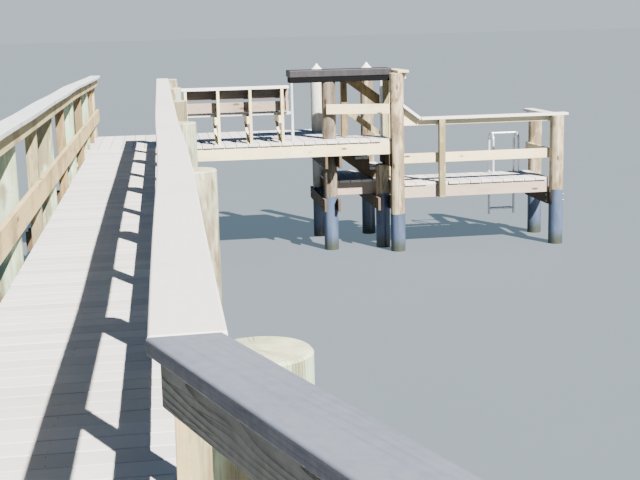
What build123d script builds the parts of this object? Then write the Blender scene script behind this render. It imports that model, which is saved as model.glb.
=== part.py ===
from build123d import *
import math
import os

# Timber boardwalk on round piles, with a bend, a platform with a bench and a counter, and a lower landing.
# Sizes are in millimetres. The origin is the centre of the foot of the right-hand pile at the bend.
# +Y runs along the walkway, +X is to its right and +Z is up.

# Levels above the foot of the piles
deck_top = 1660.0
lower_drop = 660.0

# Round piles
pile_d = 207.0
dap = 20.0
pile_over_seat = 28.0

# Sawn timber
plank_t = 38.0
joist_h = 184.0
rim_h = 235.0
board_w = 140.0
post_w = 89.0

# Walkway
deck_w = 1050.0
bay_lengths = (2990.0, 2830.0, 2700.0, 2640.0)
bend_deg = 20.0
bend_y = 100.0
approach_len = 3220.0
beam_past_pile = 90.0

# Rails
rail_h = 956.0
cap_w = 164.0
cap_in = 45.0
left_rail_up = 50.0
left_pile_under = 30.0
right_top_h = 140.0
left_top_h = 114.0
walk_mid_low = 250.0
top_rail_h = 92.0
mid_rail_low = 290.0

# Platform
plat_y0 = 13700.0
plat_depth = 2130.0
strip_depth = 710.0
edge_x1 = 3116.0
main_x1 = 2488.0
a_line_in = 228.0
b_line_in = 66.0
near_row_in = 370.0
far_row_in = 580.0
corner_pile_up = 918.0

# Lower landing
low_depth = 870.0
low_x1 = 5492.0
low_mid_x = 3500.0
low_inner_in = 600.0
low_inner_depth = 1200.0
c_beam_under_rim = 7.5
c_near_before = 40.0
c_far_past = 55.0
low_cap_x0 = 3550.0
low_cap_past = 165.0
low_newel_x = 3813.0
rail_lap = 50.0
ramp_rise = 227.0

# Stair
risers = 4
tread_run = 220.0
newel_gap = 2.0
handrail_low = 2531.0
handrail_top = 2616.0
stair_mid_low = 2054.0

# Bench
bench_x0 = 150.0
bench_pitch = 456.0
bench_count = 4
bench_h = 810.0
bench_cap_w = 180.0
bench_cap_past = 60.0
bench_back_past = 83.0
seat_h = 430.0
seat_boards = 3
seat_gap = 5.0
bearer_h = 105.0
back_gap = 43.0
brace_w = 75.0

# Counter
counter_x0 = 1680.0
counter_x1 = 3190.0
counter_y0 = 13970.0
counter_h = 1010.0
counter_t = 100.0
apron_h = 80.0
apron_in = 10.0
pole_d = 43.0
pole_right_x = 3030.0

# Guards beside the counter
guard_low = 370.0
guard_lap = 5.0

# Sleeves and cones on the piles
sleeve_t = 3.0
sleeve_corner = 556.0
sleeve_a_near = 806.0
sleeve_b_near = 820.0
sleeve_c_near = 820.0
sleeve_far = 800.0
cone_pile_top = 2620.0
cone_over = 8.0
cone_sides = 24
cone_taper = 44.0
cone_rise = 110.0
cone_skirt = 24.0

# Ladder
ladder_x0 = 4835.0
ladder_w = 430.0
ladder_tube = 32.0
ladder_sides = 10
ladder_low = 330.0
ladder_bend_z = 500.0
ladder_bend_r = 110.0
step_low = 400.0
step_pitch = 250.0
step_t = 28.0
step_d = 80.0

# Levels and lines that follow
pile_r = pile_d / 2
flat = pile_r - dap
span = deck_w + pile_d
pile_x_right = -bend_y * math.sin(math.radians(bend_deg))
pile_x_left = pile_x_right - span
x_right = pile_x_right - pile_r
x_left = x_right - deck_w
x_mid = (x_left + x_right) / 2
joist_top = deck_top - plank_t
beam_top = joist_top - joist_h
beam_low = beam_top - joist_h
cap_under = deck_top + rail_h - plank_t
low_top = deck_top - lower_drop
low_joist_top = low_top - plank_t
low_beam_top = low_joist_top - joist_h
low_cap_under = low_top + rail_h - plank_t
end_row = plat_y0 + plank_t + pile_r
rail_end = end_row + pile_r
row_near = plat_y0 + near_row_in
plat_y1 = plat_y0 + plat_depth
row_far = plat_y1 - far_row_in
strip_y1 = plat_y0 + strip_depth
plat_row = plat_y1 - plank_t - pile_r
under_caps = {"right": cap_under, "left": cap_under + left_rail_up}
pile_tops = {"right": cap_under + pile_over_seat, "left": cap_under + left_rail_up - left_pile_under}
top_rail_hs = {"right": right_top_h, "left": left_top_h}
plat_x0 = pile_x_left - flat - plank_t
line_a = main_x1 - a_line_in
line_b = edge_x1 - b_line_in
corner_x = edge_x1 + flat
low_y1 = plat_y0 + low_depth
low_inner_y0 = plat_y0 + low_inner_in
low_inner_y1 = low_inner_y0 + low_inner_depth
line_c = low_x1 - c_beam_under_rim + plank_t + flat
c_near_y = plat_y0 - c_near_before
c_far_y = low_y1 + c_far_past
half_bend = math.radians(bend_deg / 2)
bend_plane = Plane(
    origin=(0, bend_y, 0),
    x_dir=(math.cos(half_bend), math.sin(half_bend), 0),
    z_dir=(-math.sin(half_bend), math.cos(half_bend), 0),
)


def block(x0, x1, y0, y1, z0, z1):
    """A squared timber between two opposite corners."""
    return Pos((x0 + x1) / 2, (y0 + y1) / 2, (z0 + z1) / 2) * Box(x1 - x0, y1 - y0, z1 - z0)


def mitred(x0, x1, y1, z0, z1):
    """A timber along the walkway that starts on the mitre of the bend."""
    slope = math.tan(half_bend)
    outline = Polygon(
        (x0, bend_y + x0 * slope),
        (x1, bend_y + x1 * slope),
        (x1, y1),
        (x0, y1),
        align=None,
    )
    return Pos(0, 0, z0) * extrude(outline, amount=z1 - z0, dir=(0, 0, 1))


def side_outline(points, y0, thickness):
    """A plank on edge across the walkway, from its outline in X and Z."""
    outline = Plane.XZ * Polygon(*points, align=None)
    return Pos(0, y0, 0) * extrude(outline, amount=thickness, dir=(0, 1, 0))


def end_outline(points, x0, thickness):
    """A plank on edge along the walkway, from its outline in Y and Z."""
    outline = Plane.YZ * Polygon(*points, align=None)
    return Pos(x0, 0, 0) * extrude(outline, amount=thickness, dir=(1, 0, 0))


def approach(shape):
    """The same timber on the other side of the bend."""
    return mirror(shape, about=bend_plane)


def pile(x, y, top, flats=(), turn=0.0):
    """A round pile with flats sawn on the named sides between two levels."""
    body = Pos(0, 0, top / 2) * Cylinder(pile_r, top)
    for side, z0, z1 in flats:
        body -= side_cut(side, z0, z1)
    return Pos(x, y, 0) * Rot(0, 0, turn) * body


def side_cut(side, z0, z1):
    """What is sawn off one side of a pile that stands at the origin."""
    if side == "right":
        return block(flat, pile_d, -pile_d, pile_d, z0, z1)
    if side == "left":
        return block(-pile_d, -flat, -pile_d, pile_d, z0, z1)
    if side == "far":
        return block(-pile_d, pile_d, flat, pile_d, z0, z1)
    return block(-pile_d, pile_d, -pile_d, -flat, z0, z1)


def whole_pile(x, y):
    """The full round of a pile, for fitting what stands beside it."""
    return Pos(x, y, deck_top) * Cylinder(pile_r, 2 * deck_top)


def clasped(direction, top):
    """The two flats of a pile between a pair of beams."""
    sides = ("near", "far") if direction == "across" else ("left", "right")
    return [(side, top - joist_h, top) for side in sides]


def row_beams(x, y, width, turn=0.0):
    """Two beams that clasp a pair of walkway piles, measured from the right-hand pile."""
    length = width / math.cos(math.radians(turn))
    end = pile_r + beam_past_pile
    beams = []
    for y0 in (-flat - plank_t, flat):
        beams.append(block(-length - end, end, y0, y0 + plank_t, beam_low, beam_top))
    return [Pos(x, y, 0) * Rot(0, 0, turn) * b for b in beams]


def row_piles(x, y, width, flats, turn=0.0):
    """The right and left piles of one row."""
    left_y = y - width * math.tan(math.radians(turn))
    right = pile(x, y, pile_tops["right"], flats, turn)
    return right, pile(x - width, left_y, pile_tops["left"], flats, turn)


def line_beams(x, y0, y1, top):
    """Two beams along the walkway that clasp the piles of one line."""
    return [
        block(x - flat - plank_t, x - flat, y0, y1, top - joist_h, top),
        block(x + flat, x + flat + plank_t, y0, y1, top - joist_h, top),
    ]


def rail_x(side):
    """Inner and outer faces of the rails on one side of the walkway."""
    if side == "right":
        return x_right - plank_t, x_right
    return x_left, x_left + plank_t


def post_x(side):
    """Faces of the square posts on one side of the walkway."""
    if side == "right":
        return x_right, x_right + post_w
    return x_left - post_w, x_left


def cap_x(side):
    """Edges of the rail cap on one side of the walkway."""
    if side == "right":
        start = x_right - plank_t - cap_in
        return start, start + cap_w
    start = x_left + plank_t + cap_in
    return start - cap_w, start


nodes = {}
sides = ("right", "left")

# Rails and caps of the walkway and of the approach
row_ys = [0.0]
for length in bay_lengths:
    row_ys.append(row_ys[-1] + length)
row_ys.append(end_row)
post_ys = [(a + b) / 2 for a, b in zip(row_ys, row_ys[1:])]
approach_end = bend_y + approach_len
approach_row = approach_end - pile_r - plank_t
approach_post_y = (approach_row + bend_y) / 2
low = deck_top + walk_mid_low
approach_rails = []
approach_caps = []
for side in sides:
    y_end = rail_end if side == "right" else plat_y1
    under = under_caps[side]
    top_low = under - top_rail_hs[side]
    x0, x1 = post_x(side)
    nodes["rail_posts_" + side] = [
        block(x0, x1, y - post_w / 2, y + post_w / 2, beam_top, under) for y in post_ys
    ]
    y = approach_post_y
    approach_rails.append(approach(block(x0, x1, y - post_w / 2, y + post_w / 2, beam_top, under)))
    x0, x1 = rail_x(side)
    nodes["top_rail_" + side] = [mitred(x0, x1, y_end, top_low, under)]
    nodes["mid_rail_" + side] = [mitred(x0, x1, y_end, low, low + joist_h)]
    approach_rails.append(approach(mitred(x0, x1, approach_end, top_low, under)))
    approach_rails.append(approach(mitred(x0, x1, approach_end, low, low + joist_h)))
    x0, x1 = cap_x(side)
    nodes["rail_cap_" + side] = [mitred(x0, x1, y_end, under, under + plank_t)]
    approach_caps.append(approach(mitred(x0, x1, approach_end, under, under + plank_t)))
x0, x1 = post_x("left")
y = (end_row + plat_row) / 2
nodes["rail_posts_left"].append(block(x0, x1, y - post_w / 2, y + post_w / 2, deck_top, under_caps["left"]))
nodes["approach_rails"] = approach_rails
nodes["approach_caps"] = approach_caps

# Piles and cross beams of the walkway and of the approach, with seats sawn for the caps
right_piles = []
left_piles = []
cross_beams = []
for i, y in enumerate(row_ys):
    turn = bend_deg / 2 if i == 0 else 0.0
    x = 0.0 if i == 0 else pile_x_right
    width = x - pile_x_left
    direction = "along" if y == end_row else "across"
    right, left = row_piles(x, y, width, clasped(direction, beam_top), turn)
    for cap in nodes["rail_cap_right"] + approach_caps:
        right -= cap
    right_piles.append(right)
    left_piles.append(left)
    if y != end_row:
        cross_beams += row_beams(x, y, width, turn)
cross_beams += [approach(b) for b in row_beams(pile_x_right, approach_row, span)]
approach_piles = []
for shape in row_piles(pile_x_right, approach_row, span, clasped("across", beam_top)):
    turned = approach(shape)
    for cap in approach_caps:
        turned -= cap
    approach_piles.append(turned)
nodes["walkway_piles_right"] = right_piles
nodes["walkway_piles_left"] = left_piles
nodes["walkway_cross_beams"] = cross_beams
nodes["approach_piles"] = approach_piles

# Stringers and decks of the walkway and of the approach
stringers = []
for x0 in (x_right - plank_t, x_mid - plank_t / 2, x_left):
    stringers.append(mitred(x0, x0 + plank_t, row_ys[1], beam_top, joist_top))
    for y0, y1 in zip(row_ys[1:-1], row_ys[2:-1] + [plat_y0]):
        stringers.append(block(x0, x0 + plank_t, y0, y1, beam_top, joist_top))
    stringers.append(approach(mitred(x0, x0 + plank_t, approach_end, beam_top, joist_top)))
nodes["walkway_stringers"] = stringers
nodes["walkway_deck"] = [mitred(x_left, x_right, plat_y0, joist_top, deck_top)]
nodes["approach_deck"] = [approach(mitred(x_left, x_right, approach_end, joist_top, deck_top))]

# Piles of the platform and of the stair
both_levels = clasped("along", beam_top) + clasped("along", low_beam_top)
low_level = clasped("along", low_beam_top)
counter_under = deck_top + counter_h - counter_t
apron_low = counter_under - apron_h
nodes["platform_piles"] = [
    pile(pile_x_left, plat_row, pile_tops["left"], clasped("along", beam_top)),
    pile(pile_x_right, plat_row, beam_top, clasped("along", beam_top)),
    pile(line_b, row_near, beam_low, low_level),
]
nodes["tall_piles"] = [
    pile(line_a, row_near, apron_low, both_levels),
    pile(line_a, row_far, cone_pile_top, both_levels),
    pile(line_b, row_far, cone_pile_top, low_level),
    pile(corner_x, plat_y0, deck_top + corner_pile_up, [("left", beam_low, deck_top)]),
]

# Platform frame
beams = []
for x in (pile_x_left, pile_x_right, line_a):
    beams += line_beams(x, plat_y0, plat_y1, beam_top)
beams.append(block(edge_x1 - plank_t, edge_x1, plat_y0, strip_y1, beam_low, beam_top))
nodes["platform_beams"] = beams
joist_x0 = plat_x0 + plank_t
nodes["platform_rims"] = [
    block(plat_x0, edge_x1, plat_y0, plat_y0 + plank_t, beam_top, joist_top),
    block(plat_x0, main_x1 - plank_t, plat_y1 - plank_t, plat_y1, beam_top, joist_top),
    block(plat_x0, joist_x0, plat_y0 + plank_t, plat_y1 - plank_t, beam_top, joist_top),
    block(edge_x1 - plank_t, edge_x1, plat_y0 + plank_t, strip_y1, beam_top, joist_top),
    block(main_x1 - plank_t, main_x1, strip_y1, plat_y1, joist_top - rim_h, joist_top),
]
nodes["walkway_piles_left"][-1] -= nodes["platform_rims"][2]
nodes["platform_piles"][0] -= nodes["platform_rims"][2]
main_joist_y = (strip_y1 + row_far - pile_r - plank_t) / 2
nodes["platform_joists"] = [
    block(joist_x0, edge_x1 - plank_t, row_near + pile_r, row_near + pile_r + plank_t, beam_top, joist_top),
    block(joist_x0, edge_x1 - plank_t, strip_y1 - plank_t, strip_y1, beam_top, joist_top),
    block(joist_x0, main_x1 - plank_t, main_joist_y, main_joist_y + plank_t, beam_top, joist_top),
    block(joist_x0, main_x1 - plank_t, row_far - pile_r - plank_t, row_far - pile_r, beam_top, joist_top),
    block(joist_x0, main_x1 - plank_t, plat_row - pile_r - plank_t, plat_row - pile_r, beam_top, joist_top),
]
strip = block(plat_x0, edge_x1, plat_y0, strip_y1, joist_top, deck_top)
for x, y in ((pile_x_right, end_row), (pile_x_left, end_row), (line_a, row_near)):
    strip -= whole_pile(x, y)
main = block(plat_x0, main_x1, strip_y1, plat_y1, joist_top, deck_top)
for x, y in ((pile_x_left, plat_row), (line_a, row_far)):
    main -= whole_pile(x, y)
nodes["platform_deck"] = [strip, main]

# Lower landing
beam_end = row_far + pile_r + beam_past_pile
beams = line_beams(line_a, row_near - pile_r - beam_past_pile, beam_end, low_beam_top)
beams += line_beams(line_b, plat_y0 + pile_r, beam_end, low_beam_top)
beams += line_beams(line_c, plat_y0, c_far_y + pile_r, low_beam_top)
nodes["lower_beams"] = beams
side_rail_heights = (
    (low_top + mid_rail_low, low_top + mid_rail_low + board_w),
    (low_cap_under - top_rail_h, low_cap_under),
)
nodes["lower_piles"] = [
    pile(line_c, c_near_y, low_cap_under, low_level),
    pile(line_c, c_far_y, low_cap_under, low_level + [("left", z0, z1) for z0, z1 in side_rail_heights]),
]
corner_pile = whole_pile(corner_x, plat_y0)
near_c_pile = whole_pile(line_c, c_near_y)
low_joist_x1 = low_x1 - plank_t
low_joist_x0 = line_b + flat
nodes["lower_rims"] = [
    block(corner_x, low_joist_x1, plat_y0, plat_y0 + plank_t, low_beam_top, low_joist_top) - corner_pile,
    block(low_joist_x0, low_joist_x1, low_y1 - plank_t, low_y1, low_beam_top, low_joist_top),
    block(low_joist_x1, low_x1, plat_y0, low_y1, low_beam_top, low_top),
    block(line_a, low_joist_x0, low_inner_y0, low_inner_y0 + plank_t, low_beam_top, low_joist_top),
    block(line_a, low_mid_x, low_inner_y1 - plank_t, low_inner_y1, low_beam_top, low_joist_top),
]
low_joist_y = row_near + pile_r + sleeve_t
inner_joist_y = low_y1 + plank_t
far_joist_y = row_far - pile_r - sleeve_t
nodes["lower_joists"] = [
    block(low_joist_x0 + dap, low_joist_x1, low_joist_y, low_joist_y + plank_t, low_beam_top, low_joist_top),
    block(line_a, low_mid_x, inner_joist_y, inner_joist_y + plank_t, low_beam_top, low_joist_top),
    block(line_a, low_mid_x, far_joist_y - plank_t, far_joist_y, low_beam_top, low_joist_top),
]
inner = block(line_a, edge_x1, low_inner_y0, low_inner_y1, low_joist_top, low_top)
inner -= whole_pile(line_a, row_far)
inner -= whole_pile(line_b, row_far)
landing = block(edge_x1, low_mid_x, low_y1, low_inner_y1, low_joist_top, low_top)
landing -= whole_pile(line_b, row_far)
nodes["lower_deck"] = [
    block(corner_x + pile_r, low_joist_x1, plat_y0, low_y1, low_joist_top, low_top),
    block(line_b + pile_r, corner_x + pile_r, plat_y0 + pile_r, low_y1, low_joist_top, low_top),
    inner,
    landing,
]

# Rails of the lower landing
side_rail_x0 = line_c - flat - plank_t
rail_x0 = corner_x + rail_lap
lower_rails = [
    block(
        low_newel_x, low_newel_x + post_w, plat_y0 - post_w, plat_y0, low_beam_top - plank_t, low_cap_under
    )
]
for z0, z1 in side_rail_heights:
    near = block(rail_x0, line_c, plat_y0, plat_y0 + plank_t, z0, z1)
    lower_rails.append(near - near_c_pile)
    lower_rails.append(
        block(side_rail_x0, side_rail_x0 + plank_t, plat_y0 + plank_t, c_far_y + pile_r, z0, z1)
    )
nodes["lower_rails"] = lower_rails
cap_y0 = plat_y0 + plank_t + cap_in - cap_w
cap_y1 = cap_y0 + cap_w
side_cap_x0 = side_rail_x0 - cap_in
ramp_run = low_cap_x0 - rail_x0
ramp_drop = plank_t / math.cos(math.atan2(ramp_rise, ramp_run))
ramp = side_outline(
    (
        (low_cap_x0, low_cap_under),
        (low_cap_x0, low_cap_under + plank_t),
        (rail_x0, low_cap_under + plank_t + ramp_rise),
        (rail_x0, low_cap_under + plank_t + ramp_rise - ramp_drop),
        (low_cap_x0 - (ramp_drop - plank_t) * ramp_run / ramp_rise, low_cap_under),
    ),
    cap_y0,
    cap_w,
)
nodes["lower_rail_cap"] = [
    block(low_cap_x0, line_c + low_cap_past, cap_y0, cap_y1, low_cap_under, low_cap_under + plank_t),
    block(side_cap_x0, side_cap_x0 + cap_w, cap_y1, c_far_y + pile_r, low_cap_under, low_cap_under + plank_t),
    ramp - corner_pile,
]

# The corner pile gets a notch for the ends of the lower rails
notch = block(
    rail_x0,
    corner_x + pile_d,
    plat_y0 - pile_d,
    plat_y0 + plank_t,
    low_top + mid_rail_low,
    low_top + mid_rail_low + board_w,
)
notch += block(
    rail_x0, corner_x + pile_d, plat_y0 - pile_d, plat_y0 + plank_t, low_cap_under - top_rail_h, low_cap_under
)
nodes["tall_piles"][-1] -= notch

# Stair
rise = lower_drop / risers
stair_y0 = strip_y1 + plank_t
stair_y1 = row_far - pile_r - dap
slope = rise / tread_run
first_top = deck_top - rise - plank_t
foot_x = main_x1 + (risers - 1) * tread_run
depth = rim_h * math.hypot(1, slope)
treads = []
points = [(main_x1, first_top)]
for i in range(1, risers):
    x1 = main_x1 + i * tread_run
    z = deck_top - i * rise
    treads.append(block(x1 - tread_run, x1, stair_y0, stair_y1, z - plank_t, z))
    points.append((x1, z - plank_t))
    if i < risers - 1:
        points.append((x1, z - plank_t - rise))
lower_edge = first_top + rise - depth
points.append((foot_x, low_top))
points.append((main_x1 + (lower_edge - low_top) / slope, low_top))
points.append((main_x1, lower_edge))
nodes["stair_treads"] = treads
nodes["stair_stringers"] = [
    side_outline(points, stair_y0, plank_t),
    side_outline(points, stair_y1 - plank_t, plank_t),
]

# Posts and sloped rails beside the stair
newel_x = main_x1 + newel_gap
newel_y0 = strip_y1 - post_w
foot_newel_x0 = edge_x1
foot_newel_x1 = foot_newel_x0 + post_w
guard_post_x1 = corner_x + pile_r
handrails = [
    block(newel_x, newel_x + post_w, newel_y0, strip_y1, deck_top, counter_under),
    block(foot_newel_x0, foot_newel_x1, newel_y0, strip_y1, low_top, counter_under),
]
for z, height, limit in ((handrail_low, board_w, handrail_top), (stair_mid_low, post_w, handrail_top)):
    fall = (foot_newel_x1 - newel_x) * slope
    tall = height * math.hypot(1, slope)
    plank = side_outline(
        ((newel_x, z), (newel_x, z + tall), (foot_newel_x1, z + tall - fall), (foot_newel_x1, z - fall)),
        strip_y1,
        plank_t,
    )
    handrails.append(plank - block(newel_x - plank_t, foot_newel_x1, strip_y1, stair_y0, limit, limit + tall))
nodes["stair_handrail"] = handrails

# Guards beside the counter: a board from pile to pile, and a rail and a cap on the right-hand edge
guard_z = deck_top + guard_low
corner_top = deck_top + corner_pile_up
board_run = corner_x - line_a
board_fall = row_near - plat_y0
board_turn = math.degrees(math.atan2(-board_fall, board_run))
board_len = math.hypot(board_run, board_fall)
oblique = block(-guard_lap, board_len, -pile_r - plank_t, -pile_r, guard_z, guard_z + board_w)
oblique = Pos(line_a, row_near, 0) * Rot(0, 0, board_turn) * oblique
guard_rail_x0 = guard_post_x1
nodes["platform_guards"] = [
    oblique - corner_pile,
    block(guard_post_x1 - post_w, guard_post_x1, newel_y0, strip_y1, low_top, corner_top),
    block(guard_rail_x0, guard_rail_x0 + plank_t, plat_y0, strip_y1, corner_top - post_w, corner_top),
    block(
        corner_x, corner_x + cap_w, plat_y0 - pile_r, strip_y1 + cap_in, corner_top, corner_top + plank_t
    ),
]

# Bench
upright_y1 = plat_y0 + board_w
bearer_top = deck_top + seat_h - plank_t
seat_y0 = upright_y1 + plank_t + seat_gap
seat_y1 = seat_y0 + seat_boards * (board_w + seat_gap) - seat_gap
frames = []
for i in range(bench_count):
    x0 = bench_x0 + i * bench_pitch
    frames.append(block(x0, x0 + plank_t, plat_y0, upright_y1, deck_top, deck_top + bench_h - plank_t))
    frames.append(block(x0 - plank_t, x0, plat_y0, seat_y1, bearer_top - bearer_h, bearer_top))
    frames.append(
        end_outline(
            (
                (plat_y0 + dap, deck_top),
                (plat_y0 + dap + brace_w, deck_top),
                (seat_y1 - dap, bearer_top - bearer_h),
                (seat_y1 - dap - brace_w, bearer_top - bearer_h),
            ),
            x0 - plank_t,
            plank_t,
        )
    )
nodes["bench_frames"] = frames
bench_x1 = bench_x0 + (bench_count - 1) * bench_pitch + plank_t
bench_end = bench_x1 + bench_back_past
back_top = deck_top + bench_h - plank_t
back_mid = back_top - board_w - back_gap
nodes["bench_back"] = [
    block(bench_x0, bench_end, upright_y1, upright_y1 + plank_t, back_top - board_w, back_top),
    block(bench_x0, bench_end, upright_y1, upright_y1 + plank_t, back_mid - board_w, back_mid),
    block(bench_end - plank_t, bench_end, upright_y1 - plank_t, upright_y1, back_mid - board_w, back_top),
]
nodes["bench_seat"] = [
    block(
        bench_x0 - bench_cap_past,
        bench_end + plank_t,
        seat_y0 + k * (board_w + seat_gap),
        seat_y0 + k * (board_w + seat_gap) + board_w,
        bearer_top,
        bearer_top + plank_t,
    )
    for k in range(seat_boards)
]
nodes["bench_cap"] = [
    block(
        bench_x0 - bench_cap_past,
        bench_end,
        upright_y1 + plank_t - bench_cap_w,
        upright_y1 + plank_t,
        back_top,
        back_top + plank_t,
    )
]

# Counter
apron_y0 = counter_y0 + apron_in
apron_x0 = counter_x0 + apron_in
apron_x1 = counter_x1 - apron_in
nodes["counter_top"] = [
    block(counter_x0, counter_x1, counter_y0, strip_y1, counter_under, counter_under + counter_t)
]
nodes["counter_apron"] = [
    block(apron_x0, apron_x1, apron_y0, apron_y0 + plank_t, apron_low, counter_under),
    block(apron_x0, apron_x1, newel_y0 - plank_t, newel_y0, apron_low, counter_under),
    block(apron_x0, apron_x0 + plank_t, apron_y0 + plank_t, newel_y0 - plank_t, apron_low, counter_under),
    block(apron_x1 - plank_t, apron_x1, apron_y0 + plank_t, newel_y0 - plank_t, apron_low, counter_under),
]
pole_y = apron_y0 + plank_t / 2
nodes["counter_poles"] = [
    Pos(x, pole_y, (deck_top + apron_low) / 2) * Cylinder(pole_d / 2, apron_low - deck_top)
    for x in (apron_x0 + plank_t / 2, pole_right_x)
]

# Sleeves around the lower part of the piles, and cones on two of them
sleeves = []
sleeve_rows = (
    (corner_x, plat_y0, sleeve_corner, ()),
    (line_a, row_near, sleeve_a_near, low_level),
    (line_a, row_far, sleeve_far, low_level),
    (line_b, row_near, sleeve_b_near, low_level),
    (line_b, row_far, sleeve_far, low_level),
    (line_c, c_near_y, sleeve_c_near, low_level),
    (line_c, c_far_y, sleeve_far, low_level),
)
for x, y, top, flats in sleeve_rows:
    tube = Pos(0, 0, top / 2) * (Cylinder(pile_r + sleeve_t, top) - Cylinder(pile_r, top))
    for side, z0, z1 in flats:
        tube -= side_cut(side, z0, max(z1, top))
    sleeves.append(Pos(x, y, 0) * tube)
nodes["pile_sleeves"] = sleeves
cones = []
for x in (line_a, line_b):
    rim = RegularPolygon(pile_r + cone_over, cone_sides)
    skirt = extrude(rim, amount=-cone_skirt) - Cylinder(pile_r, 2 * cone_skirt)
    cones.append(Pos(x, row_far, cone_pile_top) * (extrude(rim, amount=cone_rise, taper=cone_taper) + skirt))
nodes["pile_cones"] = cones

# Ladder
tube_r = ladder_tube / 2
outer_y = low_y1 + tube_r
inner_y = outer_y - 2 * ladder_bend_r
bend_z = low_top + ladder_bend_z
ladder_x1 = ladder_x0 + ladder_w
tube_outline = RegularPolygon(tube_r, ladder_sides)
tubes = []
for x in (ladder_x0 + tube_r, ladder_x1 - tube_r):
    tubes.append(Pos(x, outer_y, ladder_low) * extrude(tube_outline, amount=bend_z - ladder_low))
    tubes.append(Pos(x, inner_y, low_top) * extrude(tube_outline, amount=bend_z - low_top))
    arch = ThreePointArc(
        (x, outer_y, bend_z),
        (x, outer_y - ladder_bend_r, bend_z + ladder_bend_r),
        (x, inner_y, bend_z),
    )
    tubes.append(sweep(Pos(x, outer_y, bend_z) * tube_outline, path=arch))
bar_x0 = ladder_x0 + ladder_tube
bar_len = ladder_w - 2 * ladder_tube
bar = Rot(0, 90, 0) * extrude(tube_outline, amount=bar_len)
tubes.append(Pos(bar_x0, outer_y - ladder_bend_r, bend_z + ladder_bend_r) * bar)
nodes["ladder_rails"] = tubes
steps = []
z = step_low
while z < low_beam_top:
    steps.append(
        block(
            ladder_x0 + ladder_tube,
            ladder_x1 - ladder_tube,
            outer_y - tube_r,
            outer_y - tube_r + step_d,
            z,
            z + step_t,
        )
    )
    z += step_pitch
nodes["ladder_steps"] = steps

# Write one file for each node
os.makedirs("parts", exist_ok=True)
for name, shapes in nodes.items():
    solids = [s for shape in shapes for s in shape.solids()]
    body = solids[0] if len(solids) == 1 else Compound(children=solids)
    body.label = name
    export_step(body, "parts/" + name + ".step")
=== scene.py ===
import math

import bpy
import numpy as np
from mathutils import Matrix, Vector


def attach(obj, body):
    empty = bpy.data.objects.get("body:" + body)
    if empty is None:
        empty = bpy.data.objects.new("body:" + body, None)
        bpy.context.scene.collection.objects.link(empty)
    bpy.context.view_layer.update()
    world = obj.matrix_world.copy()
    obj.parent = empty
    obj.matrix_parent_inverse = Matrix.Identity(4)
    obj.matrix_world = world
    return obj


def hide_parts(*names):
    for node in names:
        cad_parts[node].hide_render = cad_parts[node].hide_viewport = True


bl_info = {
    "name": "Boardwalk dressing",
    "version": (1, 0, 0),
    "blender": (4, 5, 0),
    "location": "View3D > Sidebar > Boardwalk",
    "description": "Builds the boards, timbers, piles and fittings of a raised boardwalk on its frame",
    "category": "Add Mesh",
}

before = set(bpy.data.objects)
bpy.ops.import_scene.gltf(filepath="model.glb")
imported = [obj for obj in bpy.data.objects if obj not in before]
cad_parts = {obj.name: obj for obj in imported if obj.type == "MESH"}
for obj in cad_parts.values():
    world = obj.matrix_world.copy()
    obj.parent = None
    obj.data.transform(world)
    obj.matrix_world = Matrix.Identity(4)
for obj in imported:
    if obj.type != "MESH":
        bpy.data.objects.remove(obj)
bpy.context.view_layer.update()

# Levels, lines and sections in metres. Most are the frame's, and a few trims differ from it by some millimetres
DECK_TOP = 1.660
LOW_TOP = 1.000
PLANK = 0.038
JOIST_H = 0.184
BOARD_W = 0.140
POST_W = 0.089
PILE_R = 0.1035
FLAT = 0.0835
DECK_W = 1.050
ROWS = [0.0, 2.990, 5.820, 8.520, 11.160, 13.8415]
BEND = math.radians(20.0)
BEND_Y = 0.100
RAIL_H = 0.956
CAP_W = 0.164
CAP_IN = 0.045
LEFT_UP = 0.050
LEFT_PILE_UNDER = 0.030
LEFT_SAG = 0.045
SAG_FROM = 10.500
RIGHT_TOP_H = 0.140
LEFT_TOP_H = 0.114
NEAR_TOP_H = 0.118
NEAR_PAST = 0.062
GUARD_TOP = 2.605
DECK_PAST = 0.028
WALK_MID_LOW = 0.250
TOP_RAIL_H = 0.078
MID_RAIL_LOW = 0.290
PLAT_Y0 = 13.700
PLAT_Y1 = 15.830
STRIP_Y1 = 14.410
EDGE_X1 = 3.116
MAIN_X1 = 2.488
LINE_A = 2.260
LINE_B = 3.050
ROW_NEAR = 14.070
ROW_FAR = 15.250
LOW_X1 = 5.492
LOW_Y1 = 14.570
LOW_MID_X = 3.500
LOW_INNER_Y0 = 14.300
LOW_INNER_Y1 = 15.500
LOW_CAP_X0 = 3.550
NEWEL_X = 3.813
BENCH_H = 0.810
SEAT_H = 0.430
GUARD_LOW = 0.370
CONE_BASE = 2.620
BEAM_PAST = 0.090
DEEP_H = 0.235
SLEEVE_T = 0.003
RIGHT_TOP_Y0 = 0.135
RIGHT_BOW = 0.018
BOW_AT = 3.400
BOW_REACH = 1.800
NEAR_CAP_LESS = 0.012
HANDRAIL_TOP = 2.616

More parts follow.
